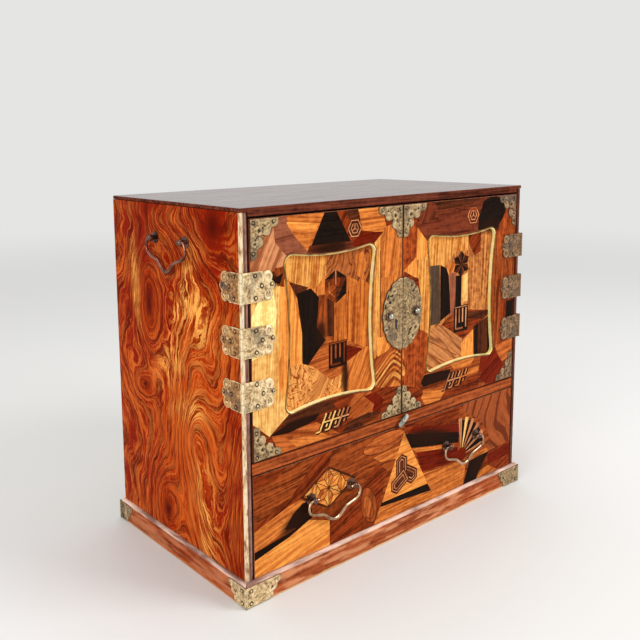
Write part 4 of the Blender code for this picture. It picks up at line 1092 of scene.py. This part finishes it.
def face_outline(node):
    """A node's front face in mm, drawn in by the margin."""
    low, high = [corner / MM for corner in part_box(node)]
    margin = VENEER_MARGIN
    return rectangle(low.x + margin, high.x - margin, low.z + margin, high.z - margin)


def marquetry():
    frames = frame_tiles(middle_of("left_pull_stud").z / MM)
    panels = panel_tiles()
    for word, _ in SIDES:
        body = f"{word}_door"
        middle = middle_of(f"{word}_door_panel") / MM
        hole = window_outline(middle.x, middle.z, -VENEER_MARGIN)
        veneer(f"{word}_frame_veneer", body, frames[word], face_outline(f"{word}_door_frame"), FRONT, hole)
        window = window_outline(middle.x, middle.z, 1.0)
        veneer(f"{word}_panel_veneer", body, panels[word], window, PANEL_FACE, shift=PANEL_SHIFT)
    veneer("drawer_veneer", "drawer", drawer_tiles(), face_outline("drawer_front"), FRONT)


# Chased brass: sizes and heights in mm
PLATE_STEP = 0.9
RIM_HEIGHT = 0.22
BOSS_HEIGHT = 0.42
SCROLL_HEIGHT = 0.5
HOLLOW_DEPTH = 0.5
NAIL_RADIUS = 1.25
NAIL_HEIGHT = 0.8
NAIL_SIDES = 10
# Rings of a nail's head, as shares of its radius and height
NAIL_PROFILE = ((1.0, -0.3), (1.0, 0.25), (0.8, 0.62), (0.45, 0.9))


def on_face(origin, along, up, out):
    """Turns a plate's u, v and height in mm into a point: origin in metres, and the ways that they run."""
    return lambda u, v, height: origin + (along * u + up * v + out * height) * MM


def edge_distance(points, outline):
    """How far each point lies from a closed outline, in mm."""
    start = np.array(outline)
    way = np.roll(start, -1, axis=0) - start
    to_point = points[:, None, :] - start[None, :, :]
    share = np.clip((to_point * way).sum(2) / (way * way).sum(1), 0, 1)
    return np.linalg.norm(to_point - share[:, :, None] * way, axis=2).min(1)


def inside(points, outline):
    """Which points lie inside a closed outline."""
    start = np.array(outline)
    end = np.roll(start, -1, axis=0)
    x, z = points[:, 0, None], points[:, 1, None]
    spans = (start[:, 1] > z) != (end[:, 1] > z)
    rise = np.where(end[:, 1] == start[:, 1], 1e-9, end[:, 1] - start[:, 1])
    crossing = (end[:, 0] - start[:, 0]) * (z - start[:, 1]) / rise + start[:, 0]
    return (spans & (x < crossing)).sum(1) % 2 == 1


def fill_points(outline, step):
    """A staggered grid of points inside an outline, clear of its edge."""
    corners = np.array(outline)
    low, high = corners.min(0), corners.max(0)
    grid = []
    for n, z in enumerate(np.arange(low[1], high[1], step * 0.866)):
        start = low[0] + (step / 2 if n % 2 else 0)
        grid += [(x, z) for x in np.arange(start, high[0], step)]
    points = np.array(grid)
    points = points[inside(points, outline)]
    return points[edge_distance(points, outline) > step * 0.45]


def hump(value, middle, width):
    """A smooth hump of height 1 round a middle."""
    return np.exp(-(((value - middle) / width) ** 2))


def plate_height(points, depth, thick, chasing=0.24, bosses=(), scrolls=(), hollows=(), ridges=()):
    """The chased surface: a rim, low chasing all over, round bosses, ring-shaped scrolls, leaf-shaped hollows
    and straight ridges."""
    u, v = points.T
    height = thick + RIM_HEIGHT * hump(depth, 1.3, 0.55) - 0.3 * hump(depth, 0, 0.35)
    swirl = np.sin(u * 1.25 + 2.2 * np.sin(v * 0.62)) * np.sin(v * 1.10 + 2.0 * np.sin(u * 0.55))
    height += chasing * swirl * np.clip((depth - 1.8) / 1.2, 0, 1)
    for x, z, radius in bosses:
        reach = np.hypot(u - x, v - z) / radius
        height += BOSS_HEIGHT * np.clip(1 - reach**2, 0, 1) ** 0.8 - 0.28 * hump(reach, 1.12, 0.14)
    for x, z, radius in scrolls:
        reach = np.hypot(u - x, v - z)
        height += SCROLL_HEIGHT * hump(reach, radius, 0.24 * radius) - 0.30 * hump(reach, 0, 0.5 * radius)
    for x, z, long, short, tilt in hollows:
        along, across = along_grain(u - x, v - z, tilt)
        height -= HOLLOW_DEPTH * np.exp(-(((along / long) ** 2 + (across / short) ** 2) ** 2))
    for place in ridges:
        height += 0.3 * hump(np.abs(u), place, 0.4)
    return height


def chased_plate(name, body, outline, place, finish, thick, work, nails=(), step=PLATE_STEP):
    """A closed sheet of brass, chased with work, and its nails. place turns u, v and height into a point."""
    outline = anticlockwise(outline)
    count = len(outline)
    points = np.vstack([np.array(outline), fill_points(outline, step)])
    depth = edge_distance(points, outline)
    depth[:count] = 0
    height = plate_height(points, depth, thick, **work)
    relief = np.clip(height - thick + 0.40, 0, 1)
    for x, z in nails:
        reach = np.hypot(points[:, 0] - x, points[:, 1] - z)
        relief -= 0.5 * hump(reach, NAIL_RADIUS * 1.35, 0.55)
    cut = delaunay_2d_cdt([Vector(p) for p in points], [], [list(range(count))], 1, CDT_EPSILON, True)
    origins = [origin[0] for origin in cut[3]]
    bm = bmesh.new()
    mark = bm.verts.layers.float.new("relief")
    top = []
    for n in origins:
        top.append(bm.verts.new(place(*points[n], height[n])))
        top[-1][mark] = max(relief[n], 0)
    for face, within in zip(cut[2], cut[5]):
        if within:
            bm.faces.new([top[n] for n in face])
    rim = [top[origins.index(n)] for n in range(count)]
    base = [bm.verts.new(place(*p, 0.0)) for p in outline]
    skin(bm, (base, rim))
    bm.faces.new(base)
    for x, z in nails:
        add_nail(bm, mark, x, z, thick, place)
    return new_object(name, finished_mesh(name, bm, 50), body, "engraved_brass", finish)


def add_nail(bm, mark, x, z, level, place):
    """A domed nail head on a plate."""
    rings = []
    for radius, height in NAIL_PROFILE:
        circle = polygon(x, z, NAIL_RADIUS * radius, NAIL_SIDES)
        rings.append([bm.verts.new(place(*p, level + NAIL_HEIGHT * height)) for p in circle])
        for vert in rings[-1]:
            vert[mark] = 0.12 + 0.5 * max(height, 0)
    skin(bm, rings)
    crown = bm.verts.new(place(x, z, level + NAIL_HEIGHT))
    crown[mark] = 0.85
    for n in range(NAIL_SIDES):
        bm.faces.new((rings[-1][n], rings[-1][(n + 1) % NAIL_SIDES], crown))
    bm.faces.new(rings[0])


def scallops(cusps, bulge, steps=6):
    """Round lobes from cusp to cusp, on the right of the way along them."""
    points = []
    for first, second in zip(cusps, cusps[1:]):
        a, b = Vector(first), Vector(second)
        chord = b - a
        aside = Vector((chord.y, -chord.x)) * bulge
        for n in range(steps):
            share = n / steps
            points.append(tuple(a + chord * share + aside * math.sin(math.pi * share)))
    return points + [tuple(cusps[-1])]


def corner_plate(name, body, corner, way, legs, finish):
    """A three-sided plate in a corner of a door: two straight legs and a scalloped third side."""
    long_u, long_v = legs
    shares = ((0.24, 0.0), (0.5, 0.09), (0.76, 0.0))
    cusps = [(long_u * (1 - share - pull), long_v * (share - pull)) for share, pull in shares]
    scalloped = scallops([(long_u, 0.0), *cusps, (0.0, long_v)], 0.34)
    middles = [between(*pair, 0.5) for pair in zip(cusps, cusps[1:])]
    curls = ((0.30, 0.30, 3.0), (0.62, 0.14, 2.2), (0.14, 0.62, 2.2))
    work = {
        "bosses": [(u - long_u * 0.01, v - long_v * 0.01, 4.2) for u, v in middles],
        "scrolls": [(long_u * u, long_v * v, radius) for u, v, radius in curls],
    }
    nails = [(3.2, 3.2), (long_u - 5.5, 2.9), (2.9, long_v - 5.5)]
    origin = Vector((corner[0] * MM, FRONT - VENEER * MM, corner[1] * MM))
    place = on_face(origin, X_WAY * way[0], Z_WAY * way[1], -Y_WAY)
    chased_plate(name, body, [(0.0, 0.0), *scalloped], place, finish, 0.7, work, nails)


def door_plates():
    """Four plates on each door. The inner ones meet as pairs at the middle of the cabinet."""
    low, high = [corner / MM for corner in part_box("left_door_frame")]
    edge = 0.4
    bottom, top = low.z + edge, high.z - edge
    outer, inner = abs(low.x) - edge, abs(high.x) + edge
    for word, side in SIDES:
        # The right door's outer plates take brass in painted shade
        outer_finish = "dark_chased_brass" if side > 0 else "chased_brass"
        spots = {
            "top_outer": ((side * outer, top), (-side, -1), (31, 35), outer_finish),
            "bottom_outer": ((side * outer, bottom), (-side, 1), (31, 31), outer_finish),
            "top_inner": ((side * inner, top), (side, -1), (34, 32), "chased_brass"),
            "bottom_inner": ((side * inner, bottom), (side, 1), (29, 29), "chased_brass"),
        }
        for spot, look in spots.items():
            corner_plate(f"{word}_{spot}_plate", f"{word}_door", *look)


# The lock plate in mm, and the chasing of its halves round its middle: leaves and a flower above, curls below
LOCK_SEAM = 0.12
LOCK_HALF_WIDE = 29.4
LOCK_HALF_HIGH = 37.0
LOCK_LOBES = 9
LOCK_DIP = 1.1
LOCK_THICK = 1.2
LEFT_LEAVES = [
    (-18, 27, 1.6, 3.0, -35), (-16, 20, 2.6, 1.3, 20), (-22, 19, 1.5, 2.9, -30),
    (-19, 13.5, 2.3, 1.2, 30), (-25.5, 10, 1.2, 2.6, -15), (-14.5, 15.5, 1.2, 1.6, 0),
]
RIGHT_LEAVES = [
    (11.5, -18, 3.0, 1.2, 40), (10, -22, 2.0, 1.0, 40), (13, 27, 1.3, 2.1, 20),
    (15.5, 21.5, 2.6, 1.3, 30), (19, 25, 1.0, 1.6, 30),
]
SEAM_DASHES = [(2.6, z, 0.6, 1.0, 0) for z in range(-28, 29, 4)]
LEFT_CURLS = [(-24.5, -13.5, 2.4), (-13.5, 24, 2.6)]
RIGHT_CURLS = [(18.5, -17.5, 3.2), (14.5, -25, 3.0)]
LOCK_WORK = {
    "left": {"chasing": 0.22, "scrolls": LEFT_CURLS, "hollows": LEFT_LEAVES, "ridges": (4.2,)},
    "right": {"chasing": 0.22, "scrolls": RIGHT_CURLS, "hollows": RIGHT_LEAVES + SEAM_DASHES},
}
# The keyhole's eye and slot, in mm from the plate's middle, how high they stand on it and how thick they are
KEYHOLE_X = -10
KEYHOLE_EYE = (-6.6, 2.1)
KEYHOLE_SLOT = ((-1.2, -14.4), (1.2, -14.4), (0.8, -8), (-0.8, -8))
KEYHOLE_LEVELS = (0.32, 0.30)
KEYHOLE_DEPTH = 0.6


def lock_plates():
    """The scalloped oval over the meeting of the doors, one half on each, and the keyhole in the left."""
    origin = Vector((0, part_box("left_lock_plate")[1].y, middle_of("left_pull_stud").z))
    place = on_face(origin, X_WAY, Z_WAY, -Y_WAY)
    steps = 4 * LOCK_LOBES
    for word, side in SIDES:
        outline = []
        for n in range(steps + 1):
            angle = math.pi * n / steps - math.pi / 2
            dip = LOCK_DIP * (1 - abs(math.sin(LOCK_LOBES * math.pi * n / steps)))
            reach = max((LOCK_HALF_WIDE - dip) * math.cos(angle), 0)
            outline.append((side * (LOCK_SEAM + reach), (LOCK_HALF_HIGH - dip) * math.sin(angle)))
        name = f"{word}_lock_plate_chased"
        work = LOCK_WORK[word]
        plate = chased_plate(name, f"{word}_door", outline, place, "chased_brass", LOCK_THICK, work)
        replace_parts(plate, f"{word}_lock_plate")
    keyhole(place)


def keyhole(place):
    # A near-black piece in painted shade, where the keyhole opens into the lock
    eye_z, eye_radius = KEYHOLE_EYE
    eye = polygon(KEYHOLE_X, eye_z, eye_radius, 12)
    slot = [(KEYHOLE_X + x, z) for x, z in KEYHOLE_SLOT]
    bm = bmesh.new()
    for outline, level in zip((eye, slot), KEYHOLE_LEVELS):
        heights = [LOCK_THICK + height for height in (level - KEYHOLE_DEPTH, level)]
        rings = [[bm.verts.new(place(*p, height)) for p in outline] for height in heights]
        skin(bm, rings)
        for ring in rings:
            bm.faces.new(ring)
    name = "keyhole_shade"
    new_object(name, finished_mesh(name, bm), "left_door", "engraved_brass", "keyhole_dark")


# A hinge leaf's cloud-shaped end, just inside the CAD model's. Its arcs: centre and radius in mm from the end
# of its plain part, and both ends in degrees
LEAF_PLAIN = {"door": 24.3, "side": 18.7}
LEAF_START = 2.6
LEAF_LEVEL = 1.25
LEAF_STEPS = 8
LEAF_LOBES = (
    (-3.0, -10.25, 2.75, -90, -6),
    (4.2, -7.75, 5.25, -148, 44),
    (7.4, 0.0, 4.15, -82, 82),
    (4.2, 7.75, 5.25, -44, 148),
    (-3.0, 10.25, 2.75, 6, 90),
)
LEAF_WORK = {
    "chasing": 0.08,
    "scrolls": [(4.6, 7.8, 3.4), (4.6, -7.8, 3.4)],
    "hollows": [(-0.8, 8.6, 0.7, 1.6, 8), (-0.8, -8.6, 0.7, 1.6, -8), (2.4, 2.4, 1.6, 0.7, 40)],
}
LEAF_NAILS = ((-9.6, 10.0), (-9.0, -9.6), (-2.4, 0.5), (8.8, 1.0), (4.2, -6.2))


def leaf_outline(leaf):
    """A leaf's outline from its barrel to its end, clockwise from the top."""
    start = LEAF_START - LEAF_PLAIN[leaf]
    half = LEAF_LOBES[-1][1] + LEAF_LOBES[-1][2]
    outline = [(start, half), (start, -half)]
    for u, v, radius, first, last in LEAF_LOBES:
        turns = [first + (last - first) * n / LEAF_STEPS for n in range(1, LEAF_STEPS + 1)]
        outline += [polar(u, v, radius, turn) for turn in turns]
    return outline


def hinge_chasing():
    """Chased sheets with nails on every hinge leaf."""
    axis = JOINT_PLACES["left_door_swing"]
    door_end = -axis.x - LEAF_PLAIN["door"] * MM
    side_end = axis.y + LEAF_PLAIN["side"] * MM
    level = LEAF_LEVEL * MM
    for word, side in SIDES:
        # Left door leaves take brass with painted light, the right hinges' leaves brass in painted shade
        door_finish, side_finish = ("pale", "warm") if side < 0 else ("dark", "dark")
        for hinge in HINGE_LEVELS:
            stem = f"{word}_{hinge}_hinge"
            centre = middle_of(f"{stem}_door_leaf").z
            on_door = on_face(Vector((side * door_end, FRONT - level, centre)), X_WAY * -side, Z_WAY, -Y_WAY)
            on_side = on_face(Vector((side * (SIDE + level), side_end, centre)), Y_WAY, Z_WAY, X_WAY * side)
            sheets = (
                ("door", f"{word}_door", on_door, door_finish),
                ("side", "carcass", on_side, side_finish),
            )
            for leaf, body, place, finish in sheets:
                name, outline = f"{stem}_{leaf}_chasing", leaf_outline(leaf)
                material = f"{finish}_chased_brass"
                chased_plate(name, body, outline, place, material, 0.12, LEAF_WORK, LEAF_NAILS)


# Wings of the plinth's brackets, in mm: how long they are on the front or back and on the side
BRACKET_WINGS = {"long": 39.0, "short": 26.0}
BRACKET_TOP_GAP = 2.0
BRACKET_LEVEL = 0.1


def plinth_brackets():
    """Brackets round the plinth's corners, each a wing along the front or back and one along the side."""
    low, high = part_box("plinth_front_rail")
    half_y = MIDDLE_Y - low.y
    level = BRACKET_LEVEL * MM
    top = high.z / MM - BRACKET_TOP_GAP
    for wing, length in BRACKET_WINGS.items():
        cusps = [(length - 14.0, 0.4), (length - 8.5, 7.0), (length - 4.0, 12.5), (length - 0.5, top)]
        outline = [(-0.8, 0.3), *scallops(cusps, 0.30), (-0.8, top)]
        nails = [(5.0, 4.0), (5.0, top - 4.0)]
        work = {
            "chasing": 0.08,
            "bosses": [(length - 10.5, top * 0.24, 2.0), (length - 5.6, top * 0.76, 2.0)],
            "hollows": [(length - 10.0, top * 0.55, 1.8, 0.8, 50)],
            "ridges": (0.2,),
        }
        for word, side in SIDES:
            for end, face in (("front", -1), ("back", 1)):
                out_x, out_y = (0, level) if wing == "long" else (level, 0)
                origin = Vector((side * (high.x + out_x), MIDDLE_Y + face * (half_y + out_y), 0))
                ways = (X_WAY * -side, Y_WAY * face) if wing == "long" else (Y_WAY * -face, X_WAY * side)
                place = on_face(origin, ways[0], Z_WAY, ways[1])
                name = f"plinth_{word}_{end}_{wing}_bracket"
                # The left front bracket takes brass with painted light
                finish = "pale_chased_brass" if (word, end) == ("left", "front") else "chased_brass"
                chased_plate(name, "carcass", outline, place, finish, 0.6, work, nails, 1.1)


def lathe(name, body, profile, base, out, material, sides=28, petals=0):
    """A turned piece: profile is (radius, distance from base, petal share) in mm, end to end."""
    turn = Z_WAY.rotation_difference(out).to_matrix()
    bm = bmesh.new()
    rings = []
    for radius, height, share in profile:
        ring = []
        for n in range(sides):
            angle = math.tau * n / sides
            reach = radius * (1 + share * math.cos(petals * angle))
            point = Vector((reach * math.cos(angle), reach * math.sin(angle), height)) * MM
            ring.append(bm.verts.new(base + turn @ point))
        rings.append(ring)
    skin(bm, rings)
    for ring in (rings[0], rings[-1]):
        bm.faces.new(ring)
    return new_object(name, finished_mesh(name, bm, 45), body, "bronze", material)


def ball(radius, centre, first, last, steps):
    """Profile points of a ball between two angles from its equator, in degrees."""
    for n in range(steps + 1):
        yield *polar(0, centre, radius, first + (last - first) * n / steps), 0


# Profiles of turned pieces. A stud is a bright dome on a dark washer
POST = [
    (1.7, -4, 0), (1.7, 0.3, 0), (5.6, 0.3, 0.05), (5.6, 0.8, 0.05), (4.6, 1.3, 0.04), (3.6, 1.1, 0),
    (2.5, 1.5, 0), (2.2, 2.4, 0), (2.25, 3.2, 0), *ball(3.4, 6.0, -46, 82, 9),
]
STUD_WASHER = [
    (1.6, -6, 0), (1.6, 2.0, 0), (5.2, 2.0, 0), (5.2, 2.4, 0), (4.7, 2.9, 0), (3.6, 2.5, 0), (2.6, 2.5, 0),
]
STUD_DOME = [(2.6, 2.3, 0), (3.1, 2.6, 0), *ball(3.1, 3.0, 0, 82, 8)]

# Bails: distance between posts, shoulder and drop in mm, and the thinnest and thickest radius of their rods
DRAWER_BAIL = (52.0, 7.2, 25.0)
CARRY_BAIL = (53.0, 7.8, 30.0)
ROD_RADII = (1.25, 1.80)
EYE_OUT = 6.0
# Bends of a bail, as shares of shoulder and drop, and of half the distance between posts and drop
SHOULDER_BENDS = ((0.83, 0.08), (1.0, 0.24), (0.80, 0.42), (0.15, 0.54))
BELLY_BENDS = ((0.88, 0.585), (0.72, 0.63), (0.55, 0.685), (0.38, 0.82), (0.20, 0.955), (0, 1))


def bail_line(span, shoulder, drop):
    """Half of a bail's centre line in mm, from the eye of its post to its lowest point."""
    half = span / 2
    points = [(half - 5.0, 0), (half, 0), (half + 3.8, 0)]
    points += [(half + shoulder * a, -drop * b) for a, b in SHOULDER_BENDS]
    points += [(half * a, -drop * b) for a, b in BELLY_BENDS]
    return [Vector(p) for p in points]


def smooth(points, per_span):
    """A Catmull-Rom curve through the points."""
    padded = [points[0] * 2 - points[1], *points, points[-1] * 2 - points[-2]]
    made = []
    for a, b, c, d in zip(padded, padded[1:], padded[2:], padded[3:]):
        for n in range(per_span):
            t = n / per_span
            square = (2 * a - 5 * b + 4 * c - d) * t * t
            made.append((2 * b + (c - a) * t + square + (3 * b - a - 3 * c + d) * t**3) * 0.5)
    return made + [points[-1]]


def bail(name, along, out, sizes, carrier, finish):
    """A bail and its two posts, in place of the CAD ones. out is the way that the posts stand."""
    middle = JOINT_PLACES[f"{name}_swing"]
    span, _, drop = sizes
    half = bail_line(*sizes)
    line = smooth(half + [Vector((-p.x, p.y)) for p in reversed(half[:-1])], 6)
    curve = bpy.data.curves.new(name, "CURVE")
    curve.dimensions = "3D"
    curve.bevel_depth = 1.0
    curve.bevel_resolution = 4
    curve.use_fill_caps = True
    spline = curve.splines.new("POLY")
    spline.points.add(len(line) - 1)
    spline.use_smooth = True
    thin, thick = ROD_RADII
    for target, point in zip(spline.points, line):
        share = min(max(-point.y / drop, 0), 1)
        target.co = (*(middle + along * point.x * MM + Z_WAY * point.y * MM), 1)
        target.radius = (thin + (thick - thin) * share * share * (3 - 2 * share)) * MM
    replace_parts(new_object(f"{name}_rod", curve, name, "bronze", finish), name)
    for end, word in ((-1, "first"), (1, "second")):
        foot = middle + along * (end * span / 2 * MM) - out * EYE_OUT * MM
        node = f"{name}_{word}_post"
        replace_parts(lathe(f"{node}_turned", carrier, POST, foot, out, "dark_bronze", 32, 8), node)


def bails():
    for word, side in SIDES:
        bail(f"drawer_{word}_bail", X_WAY, -Y_WAY, DRAWER_BAIL, "drawer", "bronze")
        bail(f"{word}_carry_bail", Y_WAY, X_WAY * side, CARRY_BAIL, "carcass", "old_bronze")


def studs():
    """Bright domed pull studs on dark washers."""
    for word, _ in SIDES:
        node = f"{word}_pull_stud"
        middle = middle_of(node)
        base = Vector((middle.x, FRONT, middle.z))
        for piece, profile, finish in (("washer", STUD_WASHER, "dark_bronze"), ("dome", STUD_DOME, "steel")):
            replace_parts(lathe(f"{word}_stud_{piece}", f"{word}_door", profile, base, -Y_WAY, finish), node)


def stage():
    """A plain pale floor that fades into the background."""
    bm = bmesh.new()
    bmesh.ops.create_circle(bm, cap_ends=True, segments=64, radius=FLOOR_REACH)
    mesh = bpy.data.meshes.new("floor")
    bm.to_mesh(mesh)
    bm.free()
    floor = bpy.data.objects.new("floor", mesh)
    bpy.context.scene.collection.objects.link(floor)
    shader = Shader("floor", {"Base Color": FLOOR_COLOUR, "Roughness": 0.6})
    distance = shader.node("VectorMath", {0: shader.place}, "Value", operation="LENGTH")
    near = Value(shader, shader.surface.outputs[0])
    far = shader.node("Emission", {"Color": BACKGROUND})
    blend = shader.node("MixShader", {0: distance.rise(0.8, 3.0), 1: near, 2: far})
    shader.feed(shader.tree.nodes["Material Output"].inputs["Surface"], blend)
    mesh.materials.append(MATERIALS["floor"])


def light():
    scene = bpy.context.scene
    scene.view_settings.view_transform = "Standard"
    scene.world = bpy.data.worlds.new("studio")
    scene.world.use_nodes = True
    nodes = Nodes(scene.world.node_tree)
    nodes.tree.nodes.clear()
    lit = nodes.node("Background", {"Color": WORLD_COLOUR, "Strength": WORLD_STRENGTH})
    shown = nodes.node("Background", {"Color": BACKGROUND})
    path = nodes.add("LightPath", {})
    rays = [Value(nodes, path.outputs[f"Is {kind} Ray"]) for kind in ("Camera", "Glossy", "Transmission")]
    seen = rays[0].math("MAXIMUM", rays[1]).math("MAXIMUM", rays[2])
    nodes.add("OutputWorld", {"Surface": nodes.node("MixShader", {0: seen, 1: lit, 2: shown})})
    for name, (place, size, power) in LAMPS.items():
        lamp = bpy.data.lights.new(name, "AREA")
        lamp.size = size
        lamp.energy = power
        obj = bpy.data.objects.new(name, lamp)
        obj.location = place
        obj.rotation_euler = (LAMP_AIM - Vector(place)).to_track_quat("-Z", "Y").to_euler()
        scene.collection.objects.link(obj)


def camera():
    data = bpy.data.cameras.new("camera")
    data.sensor_width = CAMERA_SENSOR
    data.lens = CAMERA_LENS
    data.shift_x, data.shift_y = CAMERA_SHIFT
    obj = bpy.data.objects.new("camera", data)
    obj.location = CAMERA_AT
    obj.rotation_euler = [math.radians(angle) for angle in CAMERA_TURN]
    bpy.context.scene.collection.objects.link(obj)
    bpy.context.scene.camera = obj


def main():
    make_materials()
    paint_frame()
    marquetry()
    door_plates()
    lock_plates()
    hinge_chasing()
    plinth_brackets()
    bails()
    studs()
    stage()
    light()
    camera()


main()
